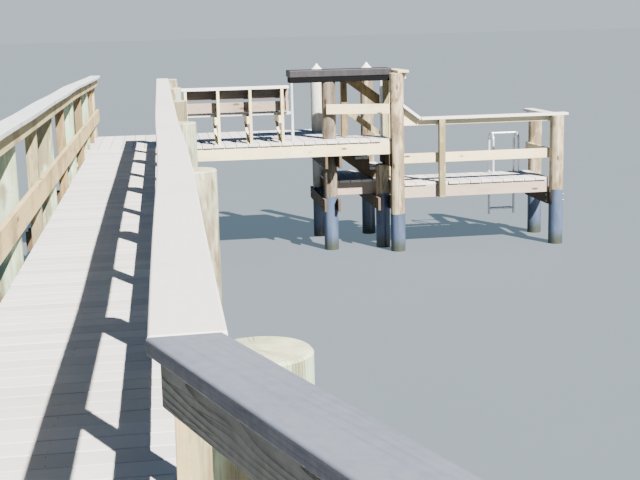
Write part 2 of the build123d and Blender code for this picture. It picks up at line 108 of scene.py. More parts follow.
# Levels and lines that follow
PILE_X_RIGHT = -BEND_Y * math.sin(BEND)
PILE_X_LEFT = PILE_X_RIGHT - DECK_W - 2 * PILE_R
X_RIGHT = PILE_X_RIGHT - PILE_R
X_LEFT = X_RIGHT - DECK_W
JOIST_TOP = DECK_TOP - PLANK
BEAM_TOP = JOIST_TOP - JOIST_H
BEAM_LOW = BEAM_TOP - JOIST_H
CAP_UNDER = DECK_TOP + RAIL_H - PLANK
LOW_JOIST_TOP = LOW_TOP - PLANK
LOW_BEAM_TOP = LOW_JOIST_TOP - JOIST_H
LOW_BEAM_LOW = LOW_BEAM_TOP - JOIST_H
LOW_CAP_UNDER = LOW_TOP + RAIL_H - PLANK
RAIL_END = ROWS[-1] + PILE_R
PLAT_ROW = PLAT_Y1 - PLANK - PILE_R
PLAT_X0 = PILE_X_LEFT - FLAT - PLANK
CORNER_X = EDGE_X1 + FLAT
LINE_C = LOW_X1 - 0.0075 + PLANK + FLAT
C_NEAR_Y = PLAT_Y0 - 0.040
C_FAR_Y = LOW_Y1 + 0.055
APPROACH_END = BEND_Y + 3.220
APPROACH_ROW = APPROACH_END - PILE_R - PLANK
MITRE = math.tan(BEND / 2)
COUNTER_UNDER = DECK_TOP + 0.910
APRON_LOW = COUNTER_UNDER - 0.080
CAP_CUT = math.radians(2.6)
CAP_CUT_Y = 0.1214
BEAM_MID = (BEAM_LOW + BEAM_TOP) / 2
LOW_BEAM_MID = (LOW_BEAM_LOW + LOW_BEAM_TOP) / 2
NEWEL_Y0 = STRIP_Y1 - POST_W
LANDING_X0 = CORNER_X + PILE_R

# Directions: vectors, and the angles that the flats of a pile face
UP = (0.0, 0.0, 1.0)
ALONG_X = (1.0, 0.0, 0.0)
MITRE_NORMAL = (-math.sin(BEND / 2), math.cos(BEND / 2), 0.0)
RIGHT, FAR, LEFT, NEAR = 0.0, math.pi / 2, math.pi, -math.pi / 2
ALL_ROUND = ((0.0, 2 * math.pi),)

# Small measures: joints, clearances, how unevenly boards are cut and laid, how far timbers bend, the shortest
# board, and the step beside a sharp change on a pile
UNDER_CAP = 0.001
JOINT = 0.001
CLEAR = 0.003
PILE_CLEAR = 0.004
UNEVEN = 0.003
BOW = 0.001
SHORTEST = 0.020
SHARP = 2e-4


class Bundle:
    """Several like timbers that make one piece: points, faces, grain coordinates and a tint for each timber."""

    def __init__(self, seed):
        self.rng = np.random.default_rng(bpy.context.scene.boardwalk.seed + seed)
        self.points, self.faces, self.grain, self.shade = [], [], [], []
        self.count = 0

    def add(self, points, faces, grain, shade=None):
        """Appends one surface: an (n, 3) array, faces of its indices, (n, 3) grain coordinates and a tint, which
        is drawn by chance unless it is given."""
        shade = self.rng.uniform(0, 1) if shade is None else shade
        self.points.append(points)
        self.faces += [tuple(i + self.count for i in face) for face in faces]
        self.grain.append(grain)
        self.shade.append(np.full(len(points), shade))
        self.count += len(points)

    def grid(self, surface, grain, shade=None):
        """Appends an (m, n, 3) grid whose second direction runs round the section, anticlockwise from its end."""
        m, n = surface.shape[:2]
        index = np.arange(m * n).reshape(m, n)
        right = np.roll(index, -1, axis=1)
        quads = np.stack([index[:-1], right[:-1], right[1:], index[1:]], -1).reshape(-1, 4)
        ends = [range(n - 1, -1, -1), range((m - 1) * n, m * n)]
        self.add(surface.reshape(-1, 3), quads.tolist() + ends, grain.reshape(-1, 3), shade)

    def timber(self, start, end, up, width, depth, arris=0.003, cuts=(None, None), step=0.6, bow=0.0, across=0,
               steps=2):
        """A sawn timber: its rounded section carried from start to end, each end cut by a plane or a scribed line.
        Point = start + axis * s + side * a + up * b, with (a, b) on the section and s between the two cuts."""
        start, end, up = (np.array(v, float) for v in (start, end, up))
        length = np.linalg.norm(end - start)
        axis = (end - start) / length
        up = up - axis * (up @ axis)
        up /= np.linalg.norm(up)
        side = np.cross(up, axis)
        outline = section(width, depth, arris, steps, across)
        inner = outline * np.array([(width - 2 * arris) / width, (depth - 2 * arris) / depth])
        count = max(2, int(math.ceil(length / step)) + 1)
        along = np.linspace(0.0, 1.0, count)
        rings = np.concatenate([inner[None], np.repeat(outline[None], count, 0), inner[None]])
        a, b = rings[..., 0], rings[..., 1]
        low = cut_offset(cuts[0], start, axis, side, up, a, b)
        high = length + cut_offset(cuts[1], end, axis, side, up, a, b)
        t = np.concatenate([[0.0], along, [1.0]])[:, None]
        s = low + (high - low) * t
        ease = np.zeros_like(t)
        ease[1], ease[-2] = arris, -arris
        s = s + ease
        phase = self.rng.uniform(0, 6.28, 2)
        lift = bow * np.sin(s * 2.1 + phase[0]) * np.sin(math.pi * t) if bow else 0.0
        surface = start + axis * s[..., None] + side * a[..., None] + up * (b + lift)[..., None]
        pith = self.rng.uniform(-0.05, 0.05), self.rng.choice([-1, 1]) * self.rng.uniform(0.02, 0.10)
        if width < depth:
            pith = pith[::-1]
        grain = np.stack([s + self.rng.uniform(0, 40), a + pith[0], b + pith[1]], -1)
        self.grid(surface, grain)

    def mitred(self, x0, x1, y1, z0, z1, **options):
        """A timber along the walkway whose near end lies on the mitre of the bend, less half a millimetre."""
        x, z = (x0 + x1) / 2, (z0 + z1) / 2
        start = (x, BEND_Y + x * MITRE + 0.0005, z)
        self.timber(start, (x, y1, z), UP, x1 - x0, z1 - z0, cuts=(MITRE_NORMAL, None), **options)

    def box(self, x0, x1, y0, y1, z0, z1, along="y", **options):
        """A squared timber between two opposite corners, its grain along the named axis."""
        centre = np.array([(x0 + x1) / 2, (y0 + y1) / 2, (z0 + z1) / 2])
        half = np.array([x1 - x0, y1 - y0, z1 - z0]) / 2
        k = "xyz".index(along)
        axis = np.eye(3)[k]
        up = np.array([0.0, 1.0, 0.0] if along == "z" else UP)
        side = np.abs(np.cross(up, axis))
        width, depth = 2 * float(side @ half), 2 * float(up @ half)
        self.timber(centre - axis * half[k], centre + axis * half[k], up, width, depth, **options)

    def clasping(self, x, y0, y1, top):
        """Two beams along y that hold the flat sides of one line of piles between them."""
        for x0 in (x - FLAT - PLANK, x + FLAT):
            self.box(x0, x0 + PLANK, y0, y1, top - JOIST_H, top)

    def outline(self, corners, y):
        """An upright plank cut to a polygon: its far face holds the corners (x, z) at the given y, and the other
        lies a plank's thickness nearer."""
        corners = np.array(corners, float)
        ring = np.stack([corners[:, 0], np.full(len(corners), y), corners[:, 1]], 1)
        surface = np.stack([ring, ring - np.array([0.0, PLANK, 0.0])])
        grain = np.stack([
            np.repeat(corners[None, :, 0], 2, 0) + self.rng.uniform(0, 40),
            np.repeat(corners[None, :, 1], 2, 0) * 0.9 + 0.03,
            np.array([[0.0], [PLANK]]) + np.zeros(len(corners)) + 0.05,
        ], -1)
        first = len(self.faces)
        self.grid(surface, grain)
        self.faces[first:] = [face[::-1] for face in self.faces[first:]]

    def pile(self, x, y, top, flats=(), turn=0.0, seats=()):
        """A round pile: radius = R (1 - small waves of angle and height). A flat holds it to d / cos(angle)."""
        theta = angles(72)
        marks = [top - 0.006, top]
        for _, z0, z1 in flats:
            marks += [z0 - SHARP, z0 + SHARP, z1 - SHARP, z1 + SHARP]
        if seats:
            marks += [CAP_UNDER - SHARP, CAP_UNDER + SHARP]
        z = np.unique(np.concatenate([np.arange(0, top - 0.02, 0.16), marks]))
        zz, tt = np.meshgrid(z, theta, indexing="ij")
        ph = self.rng.uniform(0, 6.28, 4)
        wave = 0.5 + 0.25 * np.sin(2 * tt + ph[0] + 0.6 * zz) + 0.25 * np.sin(5 * tt + ph[1] - 0.9 * zz)
        radius = PILE_R * (1 - 0.014 * wave)
        held = [(side, turn, FLAT, 0.1, (zz > z0) & (zz < z1)) for side, z0, z1 in flats]
        held += [(side, 0.0, distance, 0.05, zz > CAP_UNDER) for side, distance in seats]
        for side, spin, distance, least, inside in held:
            facing = np.cos(tt - side - spin)
            limit = np.where(facing > least, distance / np.maximum(facing, least), 1.0)
            radius = np.where(inside, np.minimum(radius, limit), radius)
        radius = np.where(zz >= top - 1e-6, radius - 0.005, radius)
        surface = np.stack([x + radius * np.cos(tt), y + radius * np.sin(tt), zz], -1)
        grain = np.stack([zz + self.rng.uniform(0, 40), surface[..., 0] - x + 0.012, surface[..., 1] - y], -1)
        self.grid(surface, grain)

    def lathe(self, centre, axis, profile, sides):
        """A turned shape: profile rows (radius, height) swept round the axis, each end closed by a face.
        Point = centre + (side * cos(angle) + other * sin(angle)) * radius + axis * height."""
        axis = np.array(axis, float)
        side = np.cross(reference(axis), axis)
        side /= np.linalg.norm(side)
        other = np.cross(axis, side)
        angle = angles(sides)
        ring = side * np.cos(angle)[:, None] + other * np.sin(angle)[:, None]
        profile = np.array(profile, float)
        surface = np.array(centre) + ring[None] * profile[:, 0, None, None] + axis * profile[:, 1, None, None]
        self.grid(surface, surface.copy(), 0.5)

    def tube(self, path, radius):
        """A tube: a circle carried along the points of a path, square to the path at each of them.
        Point = path + radius * (side * cos(angle) + other * sin(angle))."""
        path = np.array(path, float)
        tangent = np.gradient(path, axis=0)
        tangent /= np.linalg.norm(tangent, axis=1)[:, None]
        ref = reference(tangent[0])
        side = ref - tangent * (tangent @ ref)[:, None]
        side /= np.linalg.norm(side, axis=1)[:, None]
        other = np.cross(tangent, side)
        angle = angles(14)[None, :, None]
        surface = path[:, None] + radius * (side[:, None] * np.cos(angle) + other[:, None] * np.sin(angle))
        self.grid(surface, surface.copy(), 0.5)

    def sleeve(self, x, y, top, arcs, bottom=0.0):
        """A thin wrap round a pile: a closed strip in (radius, height) swept over each arc of angles. Small waves
        of the angle make the upper edge uneven and crease the outer face."""
        for start, end in arcs:
            whole = end - start > 6.2
            theta = np.linspace(start, end, 73 if whole else 25)[: -1 if whole else None]
            crease = 0.0007 * np.sin(9 * theta + x * 7) + 0.0005 * np.sin(23 * theta + y)
            edge = top + 0.004 * np.sin(2 * theta + x) + 0.002 * np.sin(7 * theta)
            rows = []
            for r, low in ((0.0, 0), (SLEEVE_T, 0), (SLEEVE_T, 1), (0.0, 1)):
                radius = PILE_R + 0.0002 + r + (crease if r else 0.0)
                height = np.where(low, edge, bottom)
                rows.append(np.stack([x + radius * np.cos(theta), y + radius * np.sin(theta), height], -1))
            loop = np.array(rows)
            m, n = loop.shape[:2]
            index = np.arange(m * n).reshape(m, n)
            after = np.roll(index, -1, axis=0)
            right = np.roll(index, -1, axis=1)
            right_after = np.roll(after, -1, axis=1)
            stop = n if whole else n - 1
            faces = np.stack([index, right, right_after, after], -1)[:, :stop].reshape(-1, 4).tolist()
            if not whole:
                faces += [index[:, 0].tolist(), index[::-1, -1].tolist()]
            points = loop.reshape(-1, 3)
            self.add(points, faces, points.copy(), 0.5)

    def mirrored(self, first=0):
        """Turns everything that was added from the given point count on to the other side of the bend."""
        done = 0
        for k, points in enumerate(self.points):
            if done >= first:
                self.points[k] = mirror(points)
            done += len(points)
        self.faces = [face[::-1] if face[0] >= first else face for face in self.faces]

    def bend(self, shape):
        """Shifts every point sideways and up by what the shape gives for its place along the walkway."""
        for points in self.points:
            dx, dz = shape(points[:, 1])
            points[:, 0] += dx
            points[:, 2] += dz

    def piece(self, name, look, slot, *replaces, smooth=0, bevel=0.0):
        """Makes the object in the named finish and hands it to the frame, in place of the nodes it replaces."""
        mesh = bpy.data.meshes.new(name)
        mesh.from_pydata(np.concatenate(self.points).tolist(), [], self.faces)
        for key, kind, field, rows in (("grain", "FLOAT_VECTOR", "vector", self.grain),
                                       ("shade", "FLOAT", "value", self.shade)):
            values = np.concatenate(rows).astype(np.float32).ravel()
            mesh.attributes.new(key, kind, "POINT").data.foreach_set(field, values)
        if smooth:
            mesh.polygons.foreach_set("use_smooth", np.ones(len(mesh.polygons), bool))
            mesh.set_sharp_from_angle(angle=math.radians(smooth))
        mesh.materials.append(finish(look))
        obj = bpy.data.objects.new(name, mesh)
        bpy.context.scene.collection.objects.link(obj)
        if bevel:
            modifier = obj.modifiers.new("Eased edges", "BEVEL")
            modifier.width = bevel
            modifier.segments = 2
            modifier.limit_method = "ANGLE"
        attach(obj, "root")
        if replaces:
            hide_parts(*replaces)


def angles(count):
    """Equal steps once round a circle."""
    return np.linspace(0, 2 * math.pi, count, endpoint=False)


def reference(axis):
    """A direction that isn't close to the axis."""
    return np.array([1.0, 0, 0]) if abs(axis[0]) < 0.9 else np.array([0, 1.0, 0])


def section(width, depth, arris, steps, across):
    """The outline of a timber: a rectangle whose corners are quarter circles of radius arris. Extra points may
    divide the two wide sides, so that an end can follow a curve."""
    angle = np.linspace(0, math.pi / 2, steps + 1)
    quarter = np.stack([np.cos(angle), np.sin(angle)], 1) * arris
    rows = []
    corners = ((1, 1), (-1, 1), (-1, -1), (1, -1))
    for k, (sx, sy) in enumerate(corners):
        c, s = round(math.cos(k * math.pi / 2)), round(math.sin(k * math.pi / 2))
        turned = quarter @ np.array([[c, s], [-s, c]])
        rows.append(turned + np.array([sx * (width / 2 - arris), sy * (depth / 2 - arris)]))
        if across and k in (0, 2):
            x = np.linspace(sx * (width / 2 - arris), -sx * (width / 2 - arris), across + 2)[1:-1]
            rows.append(np.stack([x, np.full(across, sy * depth / 2)], 1))
    return np.concatenate(rows)


def cut_offset(cut, origin, axis, side, up, a, b):
    """How far along the axis the cut lies at each point (a, b) of the section. A cut is None for square, the
    normal of a plane through the end, or a function of the point's place."""
    if cut is None:
        return np.zeros_like(a)
    if callable(cut):
        return cut(origin + side * a[..., None] + up * b[..., None])
    normal = np.array(cut, float)
    return -(side @ normal * a + up @ normal * b) / (axis @ normal)


def left_level(y):
    """The underside of the left-hand cap, which droops towards its far end: level - sag * (3 t^2 - 2 t^3)."""
    t = np.clip((np.asarray(y) - SAG_FROM) / (PLAT_Y1 - SAG_FROM), 0.0, 1.0)
    return CAP_UNDER + LEFT_UP - LEFT_SAG * t * t * (3 - 2 * t)


def mirror(points):
    """The same points on the other side of the bend: p - 2 n (n . (p - a)), with a on the mitre and n its normal."""
    normal = np.array(MITRE_NORMAL)
    points = np.array(points, float)
    distance = (points - np.array([0.0, BEND_Y, 0.0])) @ normal
    return points - np.multiply.outer(2 * distance, normal)


def sides_of(side):
    """Faces of the rails, of the posts and of the cap on one side of the walkway."""
    if side == "right":
        rail = (X_RIGHT - PLANK, X_RIGHT)
        post = (X_RIGHT, X_RIGHT + POST_W)
        cap = (X_RIGHT - PLANK - CAP_IN, X_RIGHT - PLANK - CAP_IN + CAP_W)
    else:
        rail = (X_LEFT, X_LEFT + PLANK)
        post = (X_LEFT - POST_W, X_LEFT)
        cap = (X_LEFT + PLANK + CAP_IN - CAP_W, X_LEFT + PLANK + CAP_IN)
    return rail, post, cap


# Shader nodes

class Graph:
    """A small helper that adds shader nodes to a tree and links them."""

    def __init__(self, tree):
        self.tree = tree

    def node(self, kind, inputs=(), **settings):
        """Adds one node, sets its properties and feeds its inputs with sockets or values."""
        node = self.tree.nodes.new(kind)
        for key, value in settings.items():
            setattr(node, key, value)
        self.feed(node, dict(inputs))
        return node

    def feed(self, node, inputs):
        """Feeds a node's inputs with sockets or values."""
        for key, value in inputs.items():
            if isinstance(value, bpy.types.NodeSocket):
                self.tree.links.new(value, node.inputs[key])
            else:
                node.inputs[key].default_value = value

    def math(self, operation, a, b=0.0):
        """One Math node."""
        return self.node("ShaderNodeMath", {0: a, 1: b}, operation=operation).outputs[0]

    def add(self, a, b):
        """The sum of two values."""
        return self.math("ADD", a, b)

    def less(self, a, b):
        """The first value less the second."""
        return self.math("SUBTRACT", a, b)

    def times(self, first, *factors):
        """The product of two or more values."""
        for factor in factors:
            first = self.math("MULTIPLY", first, factor)
        return first

    def attribute(self, name, output):
        """One attribute of the mesh."""
        return self.node("ShaderNodeAttribute", attribute_name=name).outputs[output]

    def split(self, vector):
        """The three parts of a vector."""
        return self.node("ShaderNodeSeparateXYZ", {0: vector}).outputs

    def place(self):
        """Object coordinates."""
        return self.node("ShaderNodeTexCoord").outputs["Object"]

    def mix(self, factor, a, b, blend="MIX"):
        """One colour Mix node."""
        node = self.node("ShaderNodeMix", {0: factor, 6: a, 7: b}, data_type="RGBA", blend_type=blend)
        return node.outputs[2]

    def span(self, value, low, high, to_low=0.0, to_high=1.0):
        """Maps a value smoothly from one range to another."""
        node = self.node("ShaderNodeMapRange", {0: value, 1: low, 2: high, 3: to_low, 4: to_high})
        node.interpolation_type = "SMOOTHSTEP"
        return node.outputs[0]

    def noise(self, vector, scale, detail=3.0, rough=0.55):
        """One Noise Texture node."""
        inputs = {"Vector": vector, "Scale": scale, "Detail": detail, "Roughness": rough}
        return self.node("ShaderNodeTexNoise", inputs).outputs["Fac"]

    def stretch(self, vector, x, y, z):
        """Scales a vector on each axis."""
        return self.node("ShaderNodeVectorMath", {0: vector, 1: (x, y, z)}, operation="MULTIPLY").outputs[0]


def group_tree(name, inputs, outputs):
    """A new shader node group with named sockets. Those in the first list of inputs are colours."""
    tree = bpy.data.node_groups.new(name, "ShaderNodeTree")
    for way, labels, kind in (("INPUT", inputs[0], "Color"), ("INPUT", inputs[1], "Float"),
                              ("OUTPUT", outputs[0], "Color"), ("OUTPUT", outputs[1], "Float")):
        for label in labels:
            tree.interface.new_socket(label, in_out=way, socket_type="NodeSocket" + kind)
    graph = Graph(tree)
    return tree, graph, graph.node("NodeGroupInput").outputs, graph.node("NodeGroupOutput")


def timber_grain_group():
    """Growth rings, knots and fibres from the grain coordinates. The rings are circles round the pith, which
    wanders along the timber, so a flat-sawn face shows long arches and an end shows arcs."""
    tree, g, i, o = group_tree(
        "Timber grain",
        (("Early wood", "Late wood", "Knot"), ("Ring spacing", "Contrast", "Knots", "Checks", "Streaks")),
        (("Color",), ("Height",)),
    )
    grain = g.attribute("grain", "Vector")
    along, across, through = g.split(grain)
    drift = g.noise(g.stretch(grain, 0.55, 0.0, 0.0), 1.0, 1.0)
    moved = g.node("ShaderNodeVectorMath", {0: g.stretch(grain, 0.4, 0, 0), 1: (7.3, 2.1, 5.0)}).outputs[0]
    drift_b = g.noise(moved, 1.0, 1.0)
    a = g.add(across, g.times(g.less(drift, 0.5), 0.16))
    b = g.add(through, g.times(g.less(drift_b, 0.5), 0.10))
    cells = g.node("ShaderNodeTexVoronoi", {"Vector": g.stretch(grain, 2.6, 8.0, 8.0), "Scale": 1.0,
                                            "Randomness": 1.0})
    red = g.node("ShaderNodeSeparateColor", {0: cells.outputs["Color"]}).outputs[0]
    chosen = g.math("GREATER_THAN", red, 0.45)
    knot = g.times(g.span(cells.outputs["Distance"], 0.15, 0.10), chosen, i["Knots"])
    halo = g.times(g.span(cells.outputs["Distance"], 0.5, 0.0), chosen, i["Knots"])
    r = g.math("SQRT", g.add(g.times(a, a), g.times(b, b)))
    wobble = g.noise(g.stretch(grain, 2.2, 16.0, 16.0), 1.0, 2.0)
    r = g.add(g.add(r, g.times(wobble, 0.008)), g.times(halo, 0.022))
    late = g.math("POWER", g.math("FRACT", g.math("DIVIDE", r, i["Ring spacing"])), 2.6)
    fibre = g.noise(g.stretch(grain, 9.0, 520.0, 520.0), 1.0, 2.0)
    streak = g.noise(g.stretch(grain, 0.9, 55.0, 55.0), 1.0, 3.0)
    band = g.noise(g.stretch(grain, 0.35, 15.0, 15.0), 1.0, 2.0)
    streak = g.add(g.times(streak, 0.6), g.times(band, 0.4))
    fade = g.span(g.noise(grain, 1.7, 2.0), 0.3, 0.75, 0.35, 1.0)
    amount = g.times(late, i["Contrast"], fade)
    amount = g.add(amount, g.times(g.less(streak, 0.5), i["Streaks"]))
    amount = g.add(amount, g.times(g.less(fibre, 0.5), 0.35))
    amount = g.node("ShaderNodeClamp", {0: amount}).outputs[0]
    colour = g.mix(amount, i["Early wood"], i["Late wood"])
    colour = g.mix(g.times(halo, 0.35), colour, i["Late wood"])
    round_pith = g.node("ShaderNodeCombineXYZ", {0: a, 1: b}).outputs[0]
    turn = g.node("ShaderNodeVectorMath", {0: round_pith}, operation="NORMALIZE").outputs[0]
    lead = g.node("ShaderNodeCombineXYZ", {2: g.times(along, 0.45)}).outputs[0]
    angle = g.node("ShaderNodeVectorMath", {0: g.stretch(turn, 2.6, 2.6, 1.0), 1: lead}).outputs[0]
    line = g.span(g.math("ABSOLUTE", g.less(g.noise(angle, 1.0, 2.5), 0.5)), 0.013, 0.003)
    part = g.span(g.noise(g.stretch(grain, 1.1, 5.0, 5.0), 1.0, 1.0), 0.44, 0.54)
    check = g.times(line, part, i["Checks"])
    colour = g.mix(knot, colour, i["Knot"])
    colour = g.mix(g.times(check, 0.75), colour, i["Knot"])
    height = g.less(g.add(g.times(late, -0.5), g.times(fibre, 0.6)), g.times(knot, 0.6))
    g.feed(o, {"Color": colour, "Height": g.less(height, g.times(check, 2.5))})
    return tree


def weather_group():
    """Sun-bleached upper faces, blotches, run-off streaks and a darker tide line near the foot."""
    tree, g, i, o = group_tree(
        "Weathering",
        (("Color", "Bleach", "Stain"), ("Bleach amount", "Stain amount", "Foot", "Runs")),
        (("Color",), ("Roughness", "Height")),
    )
    place = g.place()
    facing = g.split(g.node("ShaderNodeNewGeometry").outputs["Normal"])[2]
    level = g.split(place)[2]
    blotch = g.noise(place, 1.9, 5.0, 0.6)
    fine = g.noise(place, 31.0, 3.0, 0.65)
    runs = g.noise(g.stretch(place, 24.0, 24.0, 0.9), 1.0, 3.0)
    up = g.span(facing, 0.3, 0.9)
    pale = g.times(g.add(g.times(up, 0.65), g.span(blotch, 0.35, 0.7, 0.0, 0.35)), i["Bleach amount"])
    colour = g.mix(g.node("ShaderNodeClamp", {0: pale}).outputs[0], i["Color"], i["Bleach"])
    marks = g.add(blotch, g.times(g.less(runs, blotch), g.times(i["Runs"], 0.6)))
    dark = g.times(g.span(marks, 0.46, 0.66), i["Stain amount"])
    large = g.span(g.noise(g.stretch(place, 5.0, 5.0, 1.5), 1.0, 4.0, 0.6), 0.45, 0.57)
    dark = g.math("MAXIMUM", dark, g.times(large, g.times(i["Runs"], i["Stain amount"])))
    dark = g.times(dark, g.span(facing, 0.95, 0.2, 0.35, 1.0))
    colour = g.mix(dark, colour, i["Stain"])
    tide = g.times(g.span(g.add(level, g.times(fine, 0.12)), 0.40, 0.08), i["Foot"])
    colour = g.mix(tide, colour, i["Stain"])
    value = g.span(g.attribute("shade", "Fac"), 0.0, 1.0, 0.90, 1.08)
    tint = g.node("ShaderNodeCombineColor", {0: value, 1: value, 2: g.times(value, 0.99)})
    colour = g.mix(1.0, colour, tint.outputs[0], "MULTIPLY")
    height = g.add(g.times(fine, 0.7), g.times(blotch, 0.3))
    g.feed(o, {"Color": colour, "Roughness": g.span(fine, 0.3, 0.7, 0.62, 0.86), "Height": height})
    return tree


def linear(colour):
    """A screen colour of 0 to 255 as linear values with alpha."""
    values = [((c / 255 + 0.055) / 1.055) ** 2.4 if c > 10 else c / 255 / 12.92 for c in colour]
    return (*values, 1.0)


def new_material(name):
    """A material with a plain Principled shader, its graph helper and the shader."""
    material = bpy.data.materials.new(name)
    material.use_nodes = True
    return material, Graph(material.node_tree), material.node_tree.nodes["Principled BSDF"]


def group(name, maker):
    """The named node group, made on first use."""
    return bpy.data.node_groups.get(name) or maker()


def timber_material(name, early, late, knot=(88, 66, 44), bleach=((214, 208, 200), 0.4), stain=((84, 84, 68), 0.3),
                    green=None, spacing=0.006, contrast=0.7, knots=1.0, foot=0.0, bump=0.35, checks=0.0,
                    streaks=0.55, runs=0.0):
    """Sawn or round timber: grain inside, weather on top. Colours are screen values, some with an amount."""
    material, g, shader = new_material(name)
    grain = g.node("ShaderNodeGroup", {
        "Early wood": linear(early), "Late wood": linear(late), "Knot": linear(knot), "Ring spacing": spacing,
        "Contrast": contrast, "Knots": knots, "Checks": checks, "Streaks": streaks,
    }, node_tree=group("Timber grain", timber_grain_group)).outputs
    colour = grain["Color"]
    if green:
        patch = g.noise(g.stretch(g.place(), 1.0, 1.0, 0.4), 1.6, 2.0)
        amount = g.span(g.add(g.attribute("shade", "Fac"), g.times(patch, 0.6)), 0.4, 0.95)
        colour = g.mix(g.times(amount, green[1]), colour, linear(green[0]))
    weather = g.node("ShaderNodeGroup", {
        "Color": colour, "Bleach": linear(bleach[0]), "Bleach amount": bleach[1], "Stain": linear(stain[0]),
        "Stain amount": stain[1], "Foot": foot, "Runs": 1.0 if foot else runs,
    }, node_tree=group("Weathering", weather_group)).outputs
    height = g.add(grain["Height"], g.times(weather["Height"], 0.7))
    normal = g.node("ShaderNodeBump", {"Height": height, "Strength": bump, "Distance": 0.0015}).outputs[0]
    g.feed(shader, {"Base Color": weather["Color"], "Roughness": weather["Roughness"], "Normal": normal})
    return material


def smooth_material(name, colour, second, rough=(0.35, 0.55), metal=0.0, scale=6.0, bump=0.1, foot=None,
                    specular=0.5):
    """Plastic or metal: two close tones in soft patches, fine scuffs and a stained foot where asked."""
    material, g, shader = new_material(name)
    place = g.place()
    patch = g.noise(g.stretch(place, 1.0, 1.0, 0.25), scale, 4.0, 0.6)
    scuff = g.noise(g.stretch(place, 60.0, 60.0, 12.0), 1.0, 3.0, 0.7)
    tone = g.mix(g.span(patch, 0.3, 0.7), linear(colour), linear(second))
    if foot:
        line = g.add(g.split(place)[2], g.times(g.noise(place, 22.0, 3.0), 0.10))
        tone = g.mix(g.span(line, 0.30, 0.10), tone, linear(foot))
    normal = g.node("ShaderNodeBump", {"Height": scuff, "Strength": bump, "Distance": 0.001}).outputs[0]
    g.feed(shader, {"Base Color": tone, "Roughness": g.span(scuff, 0.3, 0.75, *rough), "Normal": normal,
                    "Metallic": metal, "Specular IOR Level": specular})
    return material


# Finishes: the two screen colours, or a setting and a share of it, then what differs from the defaults
PILE_LOOK = dict(spacing=0.005, contrast=0.9, foot=0.8, bump=0.7, checks=1.0)
TIMBERS = {
    "Deck board": ("deck_tone", 0.88, dict(
        knot=(148, 137, 125), bleach=((211, 209, 206), 0.45), stain=((132, 126, 120), 0.16), spacing=0.009,
        contrast=0.35, knots=0.3, bump=0.25)),
    "Rail cap": ("cap_tone", 0.90, dict(
        bleach=((211, 210, 209), 0.35), stain=((132, 132, 134), 0.20), spacing=0.012, contrast=0.25, knots=0.0,
        bump=0.22)),
    "Left rail cap": ((188, 193, 199), (130, 132, 134), dict(
        bleach=((205, 211, 217), 0.4), stain=((108, 107, 105), 0.40), spacing=0.012, contrast=0.4, knots=0.2,
        bump=0.25, streaks=0.9)),
    "Brushed cap": ((100, 105, 118), (58, 63, 76), dict(
        bleach=((108, 113, 126), 0.5), stain=((62, 68, 82), 0.45), spacing=0.010, contrast=0.5, knots=0.0,
        bump=0.3, streaks=1.5)),
    "Rail timber": ((206, 182, 130), (142, 110, 64), dict(
        bleach=((212, 198, 166), 0.25), stain=((88, 66, 36), 0.6), green=((140, 146, 112), 0.45), checks=0.5,
        streaks=1.1)),
    # Weathered grey timber with its tones darkened further as painted shade: the approach rails' faces toward the
    # camera lie in shade.
    "Grey rail timber in painted shade": ((106, 112, 112), (40, 46, 48), dict(
        knot=(20, 22, 24), bleach=((112, 118, 118), 0.2), stain=((48, 54, 50), 0.3), spacing=0.011, contrast=1.9,
        knots=1.6, checks=0.5)),
    "Post timber": ((154, 128, 82), (92, 70, 38), dict(
        knot=(70, 44, 24), bleach=((186, 170, 138), 0.25), stain=((70, 50, 28), 0.6), green=((162, 170, 138), 0.45),
        checks=0.8, streaks=1.0, runs=0.9)),
    "Pile timber": ((186, 190, 166), (116, 108, 76), dict(
        PILE_LOOK, knot=(76, 56, 34), bleach=((232, 218, 176), 0.6), stain=((96, 72, 42), 0.75),
        green=((142, 176, 146), 0.9))),
    "Brown pile timber": ((182, 168, 140), (112, 92, 62), dict(
        PILE_LOOK, knot=(60, 42, 26), bleach=((194, 185, 165), 0.25), stain=((84, 64, 42), 0.70))),
    "Grey pile timber": ((128, 118, 102), (76, 64, 50), dict(
        PILE_LOOK, knot=(44, 32, 22), bleach=((150, 142, 128), 0.2), stain=((56, 44, 34), 0.70))),
    "Pale pile timber": ((206, 207, 202), (160, 156, 142), dict(
        PILE_LOOK, knot=(112, 98, 80), bleach=((211, 210, 206), 0.4), stain=((132, 122, 104), 0.45), contrast=0.6,
        bump=0.5, checks=0.6)),
    # Brown framing darkened beyond its sunlit tone: painted shade for the beams, joists and stringers under the
    # decks.
    "Frame timber": ((92, 74, 54), (56, 42, 28), dict(
        bleach=((112, 98, 80), 0.25), stain=((48, 36, 26), 0.5), checks=0.3)),
    "Rim timber": ((230, 216, 174), (190, 162, 108), dict(
        bleach=((228, 218, 188), 0.25), stain=((140, 116, 76), 0.28), checks=0.2)),
    "Pink rim timber": ((181, 162, 146), (144, 121, 106), dict(
        bleach=((188, 178, 167), 0.3), stain=((114, 99, 86), 0.25))),
    # The top back board's finish is darkened as painted shade: the shadow that the bench cap casts on it.
    "Dark bench timber": ((94, 84, 78), (60, 50, 46), dict(bleach=((104, 96, 90), 0.2), stain=((60, 50, 46), 0.35))),
    "Bench timber": ((158, 140, 126), (108, 90, 78), dict(bleach=((176, 166, 154), 0.2), stain=((80, 68, 60), 0.35))),
}
